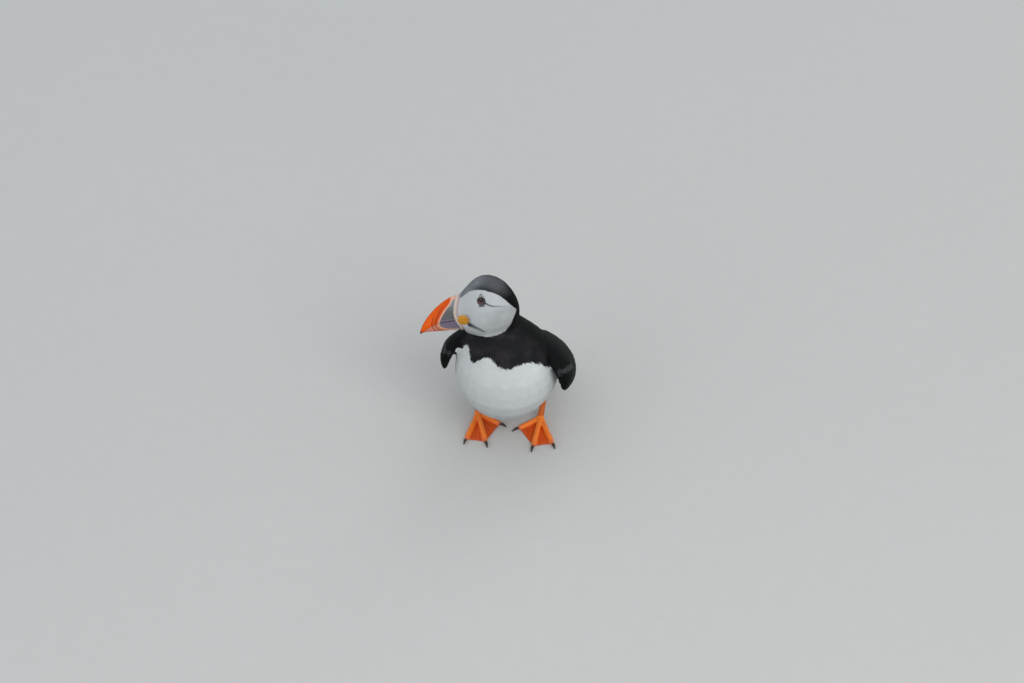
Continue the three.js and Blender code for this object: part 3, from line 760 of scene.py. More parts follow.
def scatter(gap, keep):  # evenly spread roots on the skin: their faces' corners, and a share for each corner
    faces = facesOf(skin)
    a, b, c = (places[faces[:, k]] for k in range(3))
    area = np.linalg.norm(np.cross(b - a, c - a), axis=1) / 2
    faceGap = gap[faces].mean(1)
    wanted = area / faceGap**2 * coatPlan["tries"] * keep[faces].min(1)
    count = chance.poisson(wanted)
    chosen = np.repeat(np.arange(len(faces)), count)
    weights = chance.dirichlet((1, 1, 1), len(chosen))
    spots = np.einsum("nk,nkd->nd", weights, places[faces[chosen]])
    gaps = (weights * gap[faces[chosen]]).sum(1)
    order = chance.permutation(len(chosen))
    chosen, weights, spots, gaps = chosen[order], weights[order], spots[order], gaps[order]
    tree = KDTree(len(spots))
    for k, spot in enumerate(spots.tolist()):
        tree.insert(spot, k)
    tree.balance()
    free = np.ones(len(spots), bool)
    kept = []
    for k, spot in enumerate(spots.tolist()):
        if free[k]:
            kept.append(k)
            for _, other, _ in tree.find_range(spot, gaps[k]):
                free[other] = False
    return faces[chosen[kept]], weights[kept]


_, pastRim, _ = fromLine(np.stack([ahead, up], 1), rimLine)
bare = (eyeWay < bareHead["eye"]) | (rosetteWay < bareHead["rosette"]) | ((pastRim < 0) & (ahead > 18))
bare &= blended["head"] > 0.5
thin = (sharp > 0.55) & (body[:, 1] > 12)
keep = np.where(bare | thin | (trailing > 0.55 - 0.25 * sharp), 0.0, 1.0)
corners, weights = scatter(size[:, 2], keep)


def blend(values):  # from the skin's points to the roots
    return np.einsum("nk,nk...->n...", weights, values[corners])


roots = {
    "at": blend(places), "flow": blend(flow), "size": blend(size), "map": blend(pointMap),
    "head": blend(blended["head"]), "wing": blend(blended["wing"]), "neck": blend(blended["neck"]),
    "thigh": blend(blended["thigh"]), "normal": unit(blend(normals)),
}
shown = roots["at"] + roots["flow"] * roots["size"][:, :1] * coatPlan["shown"]
roots["marks"], roots["zones"] = markingsAt(shown, roots["normal"], roots["head"], roots["wing"])
roots["zones"][:, 1] *= 1 - blend(hem)
print("roots:", len(roots["at"]))


def pathsOver(at, way, length):  # follows the surface from each root in the lie of the coat
    steps = coatPlan["steps"]
    spots, ups = [at], [np.array([skinTree.find_nearest(spot)[1] for spot in at.tolist()])]
    for _ in range(steps):
        way = unit(way - ups[-1] * dot(way, ups[-1])[:, None])
        ahead = spots[-1] + way * (length / steps)[:, None]
        found = [skinTree.find_nearest(spot)[:2] for spot in ahead.tolist()]
        spots.append(np.array([spot for spot, _ in found]))
        ups.append(np.array([normal for _, normal in found]))
    return np.stack(spots, 1), np.stack(ups, 1)


def overEdge(spots, ups, length, least):  # which vanes would curl round a sharp edge
    bend = np.min([dot(ups[:, 0], ups[:, k]) for k in range(1, ups.shape[1])], axis=0)
    reach = np.linalg.norm(spots[:, -1] - spots[:, 0], axis=1) / length
    return (bend < least) | (reach < coatPlan["reach"])


def varied(values, kind):  # no two feathers are quite alike
    spread, least, most = coatPlan["vary"][kind]
    return values * chance.normal(1, spread, len(values)).clip(least, most)


def layAll(name, laid, corners, colours, zoneShares, along):  # a piece of many vanes from one vane's faces
    count, points = laid.shape[:2]
    faces = (corners[None] + (np.arange(count) * points)[:, None, None]).reshape(-1, 4)
    piece = meshPiece(name, laid.reshape(-1, 3) * mm, faces)
    perVane = (np.repeat(values, points, 0) for values in (colours, zoneShares, chance.random(count)))
    wearMarks(piece, *perVane, np.tile(along, count))
    print(name, count, "vanes", len(faces) * 2, "triangles")
    return piece


def layVanes(name, vane, slot, chosen):  # one vane on each chosen root
    shape, corners, under = vanes[vane]
    chosen = np.flatnonzero(chosen)
    length, width, _, height = roots["size"][chosen].T
    length, width, height = varied(length, "length"), varied(width, "width"), varied(height, "height")
    at, way, up = roots["at"][chosen], roots["flow"][chosen], roots["normal"][chosen]
    swing = np.radians(chance.normal(0, coatPlan["swing"], len(chosen)))[:, None]
    way = unit(way * np.cos(swing) + np.cross(up, way) * np.sin(swing))
    eyeGap = np.linalg.norm(toHead(at)[:, 1:] + (head["eye"][1], -head["eye"][2]), axis=1) - bareHead["eye"]
    length = np.where(roots["head"][chosen] > 0.5, np.minimum(length, np.maximum(eyeGap + 0.5, 0.7)), length)
    spots, ups = pathsOver(at, way, length)
    least = np.where(roots["wing"][chosen] > 0.5, coatPlan["least"]["wing"], coatPlan["least"]["body"])
    tight = overEdge(spots, ups, length, least)  # these are made shorter, and left out if that isn't enough
    length[tight] *= 0.5
    if tight.any():
        spots[tight], ups[tight] = pathsOver(at[tight], way[tight], length[tight])
    fits = ~overEdge(spots, ups, length, least)
    chosen, spots, ups, width, height = (values[fits] for values in (chosen, spots, ups, width, height))
    count = len(chosen)
    along = np.clip(shape[:, 1], 0, 1.2) * coatPlan["steps"]
    step = np.minimum(along.astype(int), coatPlan["steps"] - 1)
    share = (along - step)[None, :, None]
    middle = spots[:, step] * (1 - share) + spots[:, step + 1] * share
    normal = unit(ups[:, step] * (1 - share) + ups[:, step + 1] * share)
    forward = unit(spots[:, step + 1] - spots[:, step])
    across = np.cross(forward, normal)
    sunk = coatPlan["sunk"]
    tilt = chance.normal(0, coatPlan["tilt"], count)[:, None]
    raised = -sunk + (height[:, None] + sunk) * np.clip(shape[:, 1], 0, 1) ** 0.8
    raised = raised + shape[:, 2] * width[:, None] * 0.6 + tilt * shape[:, 0] * width[:, None]
    laid = middle + across * (shape[:, 0] * width[:, None])[..., None] + normal * raised[..., None]
    colours, zoneShares = roots["marks"][chosen], roots["zones"][chosen]
    piece = layAll(name, laid, corners, colours, zoneShares, np.clip(shape[:, 1], 0, 1))
    cornerMap(piece, "vane", np.tile(shape[:, :2] * (2, 1), (count, 1)))
    patch = roots["map"][chosen][:, None] + (shape[None, :, :2] - (0, 0.5)) * coatPlan["patch"]
    cornerMap(piece, "OFBake", np.clip(patch, 0, 1).reshape(-1, 2))
    dress(piece, plumage, slot)
    flattest, more = coatPlan["relief"]
    relief = flattest + more * colours[:, :1, None]  # the vanes blend into one soft surface
    bent = unit(normal * np.where(under, -1, 1)[None, :, None])
    own = normalsOf(piece).reshape(bent.shape)
    soft = unit(bent * (1 - relief) + own * relief).reshape(-1, 3)
    piece.data.normals_split_custom_set_from_vertices(soft.tolist())


white = roots["marks"][:, 0] < 0.5
isHead, isWing, isThigh = roots["head"] > 0.5, roots["wing"] > 0.45, roots["thigh"] > 0.5
isHead |= roots["zones"][:, 0] > 0.5
isNeck = (roots["neck"] > 0.5) & ~isHead
rest = ~(isHead | isWing | isThigh | isNeck)
left, low = roots["at"][:, 0] > bodyAt[0], roots["at"][:, 2] < 75
flank = rest & white & (np.abs(roots["at"][:, 0] - bodyAt[0]) > 24)
layVanes("coat_face", "velvet", "face", isHead & white)
layVanes("coat_crown", "velvet", "cap", isHead & ~white)
layVanes("coat_neck", "contour", "black", isNeck)
layVanes("coat_back", "contour", "black", rest & ~white)
layVanes("coat_breast", "soft", "white", rest & white & ~low & ~flank)
layVanes("coat_belly", "soft", "white", rest & white & low & ~flank)
layVanes("coat_flank_left", "soft", "white", flank & left)
layVanes("coat_flank_right", "soft", "white", flank & ~left)
layVanes("coat_thighs", "soft", "white", isThigh)
layVanes("coat_wing_left", "contour", "black", isWing & left)
layVanes("coat_wing_right", "contour", "black", isWing & ~left)


# Shapes bent from a grid

def formed(name, across, along, shape):  # a grid bent into a closed body by shape(u, v), in millimetres
    piece = grid(name, across, along)
    spots = placesOf(piece)[:, :2] + 0.5
    moveTo(piece, shape(*spots.T) * mm)
    editAll(piece)
    bpy.ops.mesh.remove_doubles(threshold=0.004 * mm)
    bpy.ops.mesh.normals_make_consistent(inside=False)
    bpy.ops.object.mode_set(mode="OBJECT")
    return piece


def rise(piece, lift):  # moves each point out along its normal, in millimetres
    moveTo(piece, placesOf(piece) + normalsOf(piece) * np.asarray(lift)[:, None] * mm)


def beyond(flat, path):  # how far ahead of a line down the side of the head, negative behind it
    distance, side, _ = fromLine(flat, path)
    return -distance * side


# The bill
bill = {
    "rows": [  # ahead, ridge, keel and half width
        (16, 13, -18.5, 9.4), (26, 14, -19, 8.9), (32, 13.4, -18.7, 7.8), (40, 10, -18, 6.6),
        (48, 5, -17.2, 5.4), (55, -1, -16.4, 4.2), (60, -6.4, -16, 3.1), (63.4, -11.4, -16.4, 1.9),
        (65, -14.6, -17, 0.7),
    ],
    "power": 1.75,  # of its cross-section, where 2 is an ellipse
    "mouth": [(16, -5.6), (26, -7), (38, -7.6), (47, -8.2), (55, -10.6), (60.5, -13.6), (68, -18.4)],
    "chevron": [(30.5, 17), (33, 9.6), (41, 1.6), (47, -8), (45, -13), (37, -17), (24, -22)],
    "gape": 0.13,  # half the gap between the two halves
    "band": (0.42, 0.65),  # height and half width of the pale ridge
    "grooves": [(3.1, 0.42), (6.1, 0.36)],  # how far past the ridge, and how deep
    "grooveWidth": 0.36,
    "lip": 0.1,  # how far the mouth's edges stand out
    "nostril": [(29.2, -4.7), (31.5, -4.4), (34.6, -4.9)],
    "slit": (0.6, 0.42),  # depth and half width of the nostril
    "tip": (65, -16),  # where the dark tip is
    "hollow": 0.35,  # how deep the slate plate lies
    "outer": 0.84,  # share of the points across that go to the outside, the rest go to the mouth
    "points": {"upper": (176, 230), "lower": (132, 190)},
}
billLine, mouthLine, chevronLine = line(bill["rows"], 200), line(bill["mouth"]), line(bill["chevron"], 80)


def billForm(half):
    across, along = bill["points"][half]
    upper, power, outer = half == "upper", bill["power"], bill["outer"]

    def rounded(values, share):
        return np.sign(values) * np.abs(values) ** share

    def shape(u, v):
        end = 1 / along
        ahead, ridge, keel, breadth = curveAt(bill["rows"], np.clip((v - end) / (1 - 2 * end), 0, 1)).T
        middle, tall = (ridge + keel) / 2, (ridge - keel) / 2
        lips = np.interp(ahead, *mouthLine.T) + (bill["gape"] if upper else -bill["gape"])
        start = np.arcsin(rounded(np.clip((lips - middle) / tall, -0.97, 0.97), power / 2))
        stop = np.pi - start if upper else -np.pi - start
        turn = start + (stop - start) * np.clip(u / outer, 0, 1)
        inward = np.clip((u - outer) / (1 - outer), 0, 1)
        side = breadth * rounded(np.cos(turn), 2 / power) * (1 - 2 * inward)
        up = middle + tall * rounded(np.sin(turn), 2 / power)
        up = up + (1 if upper else -1) * 0.5 * breadth**0.5 * inward * (1 - inward)
        shut = np.clip(np.minimum(v, 1 - v) * along, 0, 1)
        core = (lips + (ridge if upper else keel)) / 2
        ahead = ahead + np.where(v > 0.5, 0.5 * (1 - shut), 0)
        return fromHead(np.stack([side * shut, ahead, core + (up - core) * shut], 1))

    piece = formed(f"bill_{half}", across, along, shape)
    flat = toHead(spotsOf(piece))[:, 1:]
    ahead, height = flat.T
    ridge, keel = (np.interp(ahead, billLine[:, 0], billLine[:, k]) for k in (1, 2))
    overMouth = height - np.interp(ahead, *mouthLine.T)
    past = beyond(flat, chevronLine)
    ways = {  # what the paint goes by
        "past": past,
        "slitWay": fromLine(flat, line(bill["nostril"], 12))[0] if upper else np.full(len(flat), 9.0),
        "height": height,
        "ridgeWay": ridge - height,
        "keelWay": height - keel,
        "tipWay": np.hypot(ahead - bill["tip"][0], height - bill["tip"][1]),
        "mouthWay": np.abs(overMouth),
        "lower": np.full(len(flat), 0.0 if upper else 1.0),
    }
    fade = smoothstep(ways["ridgeWay"], 0.8, 6) if upper else smoothstep(ways["keelWay"], 0.2, 2)
    fade = fade * smoothstep(ways["mouthWay"], 0.3, 1.5)
    tall, wide = bill["band"]
    lift = tall * bell(past, wide) + bill["lip"] * bell(overMouth, 0.5)
    for groove, deep in bill["grooves"]:
        lift -= deep * fade * bell(past - groove, bill["grooveWidth"])
    lift -= bill["hollow"] * smoothstep(-past, 0.9, 3) * smoothstep(beyond(flat, rimLine), 2.2, 4.2)
    lift += 0.05 * grain(spotsOf(piece), 1.6, 2)
    deep, wide = bill["slit"]
    lift -= deep * bell(ways["slitWay"], wide)
    rise(piece, lift)
    for name, values in ways.items():
        attribute(piece, name, values)
    return piece


billColours = {
    # groove is painted shade, in the grooves and along the mouth
    "orange": "ea5c02", "deep": "d04c04", "groove": "8a3413", "flush": "d4967e", "edge": "c9b0a2",
    "band": "dba890", "bandLow": "d8a078", "slateTop": "868f90", "slate": "626363", "slateLow": "776e80",
    "tip": "4a3028",
}


def billPaint():
    paint = Paint("bill_horn")
    tint = tints(billColours)
    mottle, fine = paint.noises((420.0, 4.0), (2600.0, 3.0))
    past = paint.attribute("past") + 0.5 * (mottle - 0.5)
    height, lower = paint.attribute("height"), paint.attribute("lower")
    ridgeWay, keelWay = paint.attribute("ridgeWay"), paint.attribute("keelWay")
    orange = paint.mix(paint.ease(past + 3 * mottle, 2, 11), tint["deep"], tint["orange"])
    orange = paint.mix(lower * paint.ease(keelWay, 0.4, 1.4) * 0.75, orange, tint["flush"])
    # the grooves are darkened with painted shade
    for groove, _ in bill["grooves"]:
        inLine = paint.ease(paint.maths("ABSOLUTE", past - groove), 0.75, 0.2)
        orange = paint.mix(inLine * paint.ease(ridgeWay, 1, 7) * 0.75, orange, tint["groove"])
    orange = paint.mix(paint.ease(paint.attribute("tipWay"), 4.2, 0.6) * 0.85, orange, tint["tip"])
    slate = paint.mix(paint.ease(height + 4 * (mottle - 0.5), -9, -2), tint["slateLow"], tint["slate"])
    slate = paint.mix(paint.ease(height + 5 * (mottle - 0.5), 1, 11), slate, tint["slateTop"])
    slate = paint.mix(lower * paint.ease(keelWay, 3.6, 0.6) * 0.8, slate, tint["edge"])
    band = paint.mix(paint.ease(height, -14, -4), tint["bandLow"], tint["band"])
    # a painted highlight along the ridge of the slate part, in the band's pale colour
    slate = paint.mix(paint.ease(ridgeWay, 3.4, 1.2) * (1 - lower), slate, tint["band"])
    base = paint.mix(paint.ease(past, 0.6, 0.9), band, orange)
    base = paint.mix(paint.ease(past, -0.6, -0.9), base, slate)
    # painted shade along the gap between the bill's halves
    lips = paint.ease(paint.attribute("mouthWay"), 0.5, 0.1) * (0.28 + 0.3 * paint.ease(past, -1, 1))
    base = paint.mix(lips, base, tint["groove"])
    # painted shade in the nostril slit
    base = paint.mix(paint.ease(paint.attribute("slitWay"), 0.5, 0.15) * 0.85, base, tint["tip"])
    light = 0.98 + 0.22 * (mottle - 0.5) + 0.14 * (fine - 0.5)
    growth = paint.maths("PINGPONG", past + 0.6 * mottle, 0.42)
    normal = paint.bump(growth * 0.8 + fine * 0.35 + mottle * 0.3, 0.09, 0.55)
    roughness = 0.36 + 0.22 * (mottle - 0.5) + 0.1 * (fine - 0.5)
    gloss = {"Specular_IOR_Level": 0.18, "Coat_Weight": 0.03, "Coat_Roughness": 0.3}
    return paint.finish(paint.shaded(base, light), roughness, normal, **gloss)


billHorn = billPaint()
for half in ("upper", "lower"):
    dress(billForm(half), billHorn, "orange", f"bill_{half}_tip", f"bill_{half}_plate")
print("bill made")

# The pale rim round the bill's base, with bare skin behind it
rimPlan = {
    "profile": [  # ahead of the rim line, and height
        (2.25, -0.5), (2.1, 0.2), (1.6, 0.78), (0.95, 0.98), (0.35, 0.78), (-0.15, 0.28), (-0.7, 0.36),
        (-1.5, 0.36), (-2.5, 0.12), (-3.4, -0.45), (-3.3, -1.3), (-0.5, -1.4), (2.25, -0.5),
    ],
    "points": (260, 44),
    "colours": ("b8a6a4", "cdbfb4"),  # of the skin behind, and of the rim
}


def rimForm(u, v):
    turn = 2 * np.pi * u
    ahead = np.full(len(u), 28.0)
    offset, lift = curveAt(rimPlan["profile"], v).T
    share = 2 / bill["power"]
    for _ in range(8):
        ridge, keel, breadth = (np.interp(ahead, billLine[:, 0], billLine[:, k]) for k in (1, 2, 3))
        side = breadth * np.sign(np.cos(turn)) * np.abs(np.cos(turn)) ** share
        up = (ridge - keel) / 2 * np.sign(np.sin(turn)) * np.abs(np.sin(turn)) ** share
        ahead = np.interp(-(up + (ridge + keel) / 2), -rimLine[:, 1], rimLine[:, 0]) + offset
    reach = np.hypot(side, up)
    way = headWay(np.stack([side, 0 * side, up], 1) / reach[:, None])
    middle = fromHead(np.stack([0 * side, ahead, (ridge + keel) / 2], 1))
    flesh = reach.copy()
    for k in range(len(u)):
        hit = skinTree.ray_cast(middle[k].tolist(), way[k].tolist(), reach[k] + 6)
        if hit[0] is not None and hit[3] > reach[k] - 3:
            flesh[k] = hit[3]
    reach = reach + np.maximum(flesh - reach, 0) * smoothstep(-offset, -0.2, 1.4)
    return middle + way * (reach + lift)[:, None]


def skinPaint(name, first, second, share, roughness=0.5, scale=900.0, depth=0.16):  # bare, pebbled skin
    paint = Paint(name)
    place = paint.place()
    pebbles, mottle = paint.cells(place, scale), paint.noise(place, 500.0, 3.0)
    share = paint.ease(paint.attribute(share) + 0.3 * (mottle - 0.5), 0.35, 0.65)
    base = paint.mix(share, colour(first), colour(second))
    light = 0.99 + 0.3 * (mottle - 0.5) - 0.14 * pebbles
    normal = paint.bump(mottle * 0.6 - pebbles * 0.8, depth, 0.6)
    roughness = roughness + 0.15 * (mottle - 0.5)
    return paint.finish(paint.shaded(base, light), roughness, normal, Specular_IOR_Level=0.4)


rim = formed("bill_rim_band", *rimPlan["points"], rimForm)
rimWay = beyond(toHead(spotsOf(rim))[:, 1:], rimLine)
rise(rim, 0.12 * grain(spotsOf(rim), 0.9, 5))
attribute(rim, "cream", smoothstep(rimWay, -0.35, 0.15))
dress(rim, skinPaint("rim_skin", *rimPlan["colours"], "cream"), "cream", "bill_rim")

# The rosettes at the corners of the mouth
rosettePlan = {
    "long": 6.5, "tall": 5.4, "rise": 2.4, "sunk": 1.6,
    "ahead": 0.9,  # of its CAD node
    "point": 0.3,  # how much longer it is at the back
    "fold": 1.7, "foldDepth": 0.26, "cleft": 0.5,
    "mouthCorner": -7.5,  # the folds run round this place, ahead of its middle
    "points": (130, 110),
    "colours": ("bd6d18", "d89e22"),  # painted shade between the folds, and the yellow on them
}


def faceFrame(local):  # on the skin beside a place in the head: the place, outward, back and up
    sign = np.sign(local[0])
    inward = headWay((-sign, 0, 0))
    hits = []
    for back, up in np.ndindex(3, 3):
        start = fromHead((sign * 40, local[1] + 2 * (back - 1), local[2] + 2 * (up - 1)))
        hits.append(skinTree.ray_cast(start.tolist(), inward.tolist()))
    outward = unit(np.mean([np.array(hit[1]) for hit in hits], axis=0))
    up = headWay((0, 0, 1))
    up = unit(up - outward * dot(up, outward))
    back = np.cross(up, outward) * sign
    back = back * np.sign(dot(back, headWay((0, -1, 0))))
    return np.array(hits[4][0]), outward, back, up


def onFace(spot, back, up, lift):  # laid on the skin round a face frame
    at, outward, backward, upward = spot
    over = 8  # how high over the skin the search starts
    start = at + outward * over + np.outer(back, backward) + np.outer(up, upward)
    laid = start - outward * over
    for k, place in enumerate(start.tolist()):
        hit = skinTree.ray_cast(place, (-outward).tolist(), 14)[0]
        if hit is not None:
            laid[k] = hit
    return laid + np.outer(lift, outward)


def rosetteForm(spot):
    plan = rosettePlan

    def shape(u, v):
        turn, out = 2 * np.pi * u, np.sin(np.pi * v) ** 0.75
        pointed = 1 + plan["point"] * np.maximum(np.cos(turn + 0.35), 0) ** 4
        back, up = plan["long"] * pointed * out * np.cos(turn), plan["tall"] * out * np.sin(turn)
        height = np.where(v < 0.5, plan["rise"], plan["sunk"]) * np.cos(np.pi * v)
        at, outward, backward, upward = spot
        return at + np.outer(back, backward) + np.outer(up, upward) + np.outer(height, outward)

    return shape


rosetteSkin = skinPaint("rosette_skin", *rosettePlan["colours"], "crest", 0.42, 1300.0, 0.12)
for name, middle in zip(("left", "right"), rosetteMiddles):
    at, outward, backward, upward = faceFrame(toHead(middle[None])[0])
    at = at - backward * rosettePlan["ahead"]
    shape = rosetteForm((at, outward, backward, upward))
    piece = formed(f"rosette_fold_{name}", *rosettePlan["points"], shape)
    spots = spotsOf(piece) - at
    back, up = spots @ backward, spots @ upward
    spread = np.hypot(back - rosettePlan["mouthCorner"], up)
    waves = np.cos(2 * np.pi * (spread + 0.6 * grain(spotsOf(piece), 2.2, 8)) / rosettePlan["fold"])
    inCleft = bell(up - 0.3, 0.4)
    lift = rosettePlan["foldDepth"] * waves - rosettePlan["cleft"] * inCleft * smoothstep(back, -5, 1)
    rise(piece, lift * smoothstep(spots @ outward, -0.2, 0.8))
    # less yellow in the hollows between the folds and in the cleft, as painted shade, and less towards the
    # back
    attribute(piece, "crest", 0.75 + 0.4 * waves - 0.4 * inCleft - 0.35 * smoothstep(back, 1, 5))
    dress(piece, rosetteSkin, "yellow", f"rosette_{name}")

# The eyes, their rings and the horny plates above and below them
eyePlan = {
    "at": (17.4, 5, 10.4),
    "ball": 3.1,
    "opening": 2.4,
    "bulge": 0.22,
    "ring": [  # from the eye's middle, and height
        (2.2, -0.5), (2.27, 0.1), (2.44, 0.36), (2.66, 0.34), (2.84, 0.1), (3.12, 0.26), (3.5, 0.2),
        (3.85, -0.5), (3.0, -1.0), (2.2, -0.5),
    ],
    "plates": {  # outline, and height over the skin
        "upper": ([(-2.2, 2.5), (2.4, 2.5), (2.2, 4.0), (1.5, 7.4), (0.9, 7.5), (-1.0, 5.2)], 1.1),
        "lower": ([(-3.1, -4.2), (-2.7, -2.9), (2.7, -2.8), (3.2, -4.0)], 0.85),
    },
    "ringOver": 0.45,  # the ring lies this far over the skin
    "points": {"ball": (56, 40), "ring": (132, 40), "plate": (84, 28)},
    "pupil": "0c0908",
    "iris": "33231c",
    "ringColours": ("80433d", "5a575f"),  # red inside, grey outside
    "plateColours": ("868b90", "5f5c63"),  # above and below the eye
}


def eyePaint():
    paint = Paint("eye_ball")
    out, streak = paint.attribute("out"), paint.noise(paint.mapped("eye"), 26.0, 3.0)
    pupil = colour(eyePlan["pupil"])
    iris = paint.mix(paint.ease(streak, 0.35, 0.7), pupil, colour(eyePlan["iris"]))
    base = paint.mix(paint.ease(out, 1.15, 1.35), pupil, iris)
    base = paint.mix(paint.ease(out, 2.2, 2.6), base, pupil)
    gloss = {"Specular_IOR_Level": 0.6, "Coat_Weight": 0.6, "Coat_Roughness": 0.04}
    return paint.finish(base, 0.07 + 0.05 * streak, **gloss)


def platePaint():
    paint = Paint("eye_plate_horn")
    mottle, fine = paint.noises((700.0, 4.0), (3200.0, 3.0))
    base = paint.mix(paint.attribute("low"), *(colour(code) for code in eyePlan["plateColours"]))
    ridges = paint.maths("PINGPONG", paint.attribute("length") + 0.5 * mottle, 0.3)
    light = 0.92 + 0.3 * (mottle - 0.5) + 0.3 * ridges
    normal = paint.bump(ridges + fine * 0.4, 0.14, 0.7)
    return paint.finish(paint.shaded(base, light), 0.45 + 0.2 * (fine - 0.5), normal, Specular_IOR_Level=0.4)


def plateForm(spot, outline, height):
    points = np.array(outline, float)
    ends = np.roll(points, -1, axis=0)
    along = np.linspace(0, 1, 12, endpoint=False)[:, None]
    edge = np.vstack([start + (end - start) * along for start, end in zip(points, ends)])
    for _ in range(14):  # rounds the corners
        edge = edge + 0.5 * ((np.roll(edge, 1, 0) + np.roll(edge, -1, 0)) / 2 - edge)
    middle = edge.mean(0)
    edge = np.vstack([edge, edge[:1]])

    def shape(u, v):
        share = np.minimum(2 * v, 2 - 2 * v)
        edgeAt = np.stack([np.interp(u, np.linspace(0, 1, len(edge)), edge[:, k]) for k in (0, 1)], 1)
        flat = middle + (edgeAt - middle) * share[:, None]
        lift = np.where(v < 0.5, height * (0.45 + 0.55 * np.sqrt(np.maximum(1 - share**5, 0))), -0.7)
        return onFace(spot, flat[:, 0], flat[:, 1], lift)

    return shape


def ballForm(spot):
    at, outward, backward, upward = spot
    centre = at + outward * (eyePlan["ringOver"] - math.sqrt(eyePlan["ball"] ** 2 - eyePlan["opening"] ** 2))

    def shape(u, v):
        turn, out = 2 * np.pi * u, np.pi * v
        radius = eyePlan["ball"] + eyePlan["bulge"] * (1 - smoothstep(out, 0.25, 0.75))
        flat = radius * np.sin(out)
        spots = np.outer(flat * np.cos(turn), backward) + np.outer(flat * np.sin(turn), upward)
        return centre + spots + np.outer(radius * np.cos(out), outward)

    return shape


def ringForm(spot):
    def shape(u, v):
        turn = 2 * np.pi * u
        out, lift = curveAt(eyePlan["ring"], v).T
        creases = 0.05 * np.cos(23 * turn) + 0.04 * np.cos(37 * turn + 1)
        lift = lift + creases * smoothstep(lift, 0, 0.3)
        return onFace(spot, out * np.cos(turn), out * np.sin(turn), lift + eyePlan["ringOver"])

    return shape


def roundEye(piece, spot):  # how far each point lies behind and over the eye's middle
    at, _, backward, upward = spot
    away = spotsOf(piece) - at
    return away @ backward, away @ upward


eyeGloss, plateHorn = eyePaint(), platePaint()
eyeRing = skinPaint("eye_ring", *eyePlan["ringColours"], "outer", 0.5, 1500.0, 0.1)
for name, sign in (("left", 1), ("right", -1)):
    spot = faceFrame(np.array(eyePlan["at"]) * (sign, 1, 1))
    ball = formed(f"eye_ball_{name}", *eyePlan["points"]["ball"], ballForm(spot))
    back, up = roundEye(ball, spot)
    attribute(ball, "out", np.hypot(back, up))
    cornerMap(ball, "eye", np.stack([np.arctan2(up, back) / 6, np.hypot(back, up) / 40], 1))
    dress(ball, eyeGloss, "eye", f"eye_{name}")
    ring = formed(f"eye_ring_{name}", *eyePlan["points"]["ring"], ringForm(spot))
    attribute(ring, "outer", smoothstep(np.hypot(*roundEye(ring, spot)), 2.5, 2.75))
    dress(ring, eyeRing, "slate")
    for place, plan in eyePlan["plates"].items():
        plate = formed(f"eye_horn_{place}_{name}", *eyePlan["points"]["plate"], plateForm(spot, *plan))
        back, up = roundEye(plate, spot)
        rise(plate, 0.06 * grain(spotsOf(plate), 0.7, 9))
        attribute(plate, "low", np.full(len(up), 1.0 if place == "lower" else 0.0))
        attribute(plate, "length", back if place == "upper" else up)
        dress(plate, plateHorn, "slate", f"eye_plate_{place}_{name}")
print("rim, rosettes and eyes made")

# Legs, feet and claws
legPlan = {
    "ankle": {"left": (24.6, 29.8), "right": (-33.5, 20.5)},
    "heading": {"left": 4, "right": 26},
    "toes": {"inner": (-47, 24.5), "middle": (0, 38.5), "outer": (29, 36.5)},  # turned outwards, and length
    "swell": 0.22,
    "voxel": 0.42,
    "smoothing": 8,
    "sunk": 0.2,  # the swelling, taken off again
    "toeWidth": (2.1, 3.3),  # half of it, and where the web begins
    "heel": 4,  # how far from the ankle the web begins
    "scute": 2.3,  # length of the scales down the shank and along the toes
    "scuteRise": 0.2,
    "webThick": 1.05,
    "ribs": (0.16, 46),  # their height, and how many to a full turn
    "colours": {"toe": "fa8630", "web": "da5818", "shank": "dd7438", "dusk": "a84a1c", "tip": "d4664a"},
}


def ankleOf(name):
    return bodyAt[:2] + legPlan["ankle"][name]


def wayAt(degrees):  # a way on the floor, turned from straight ahead
    angle = math.radians(degrees)
    return np.array([math.sin(angle), -math.cos(angle)])


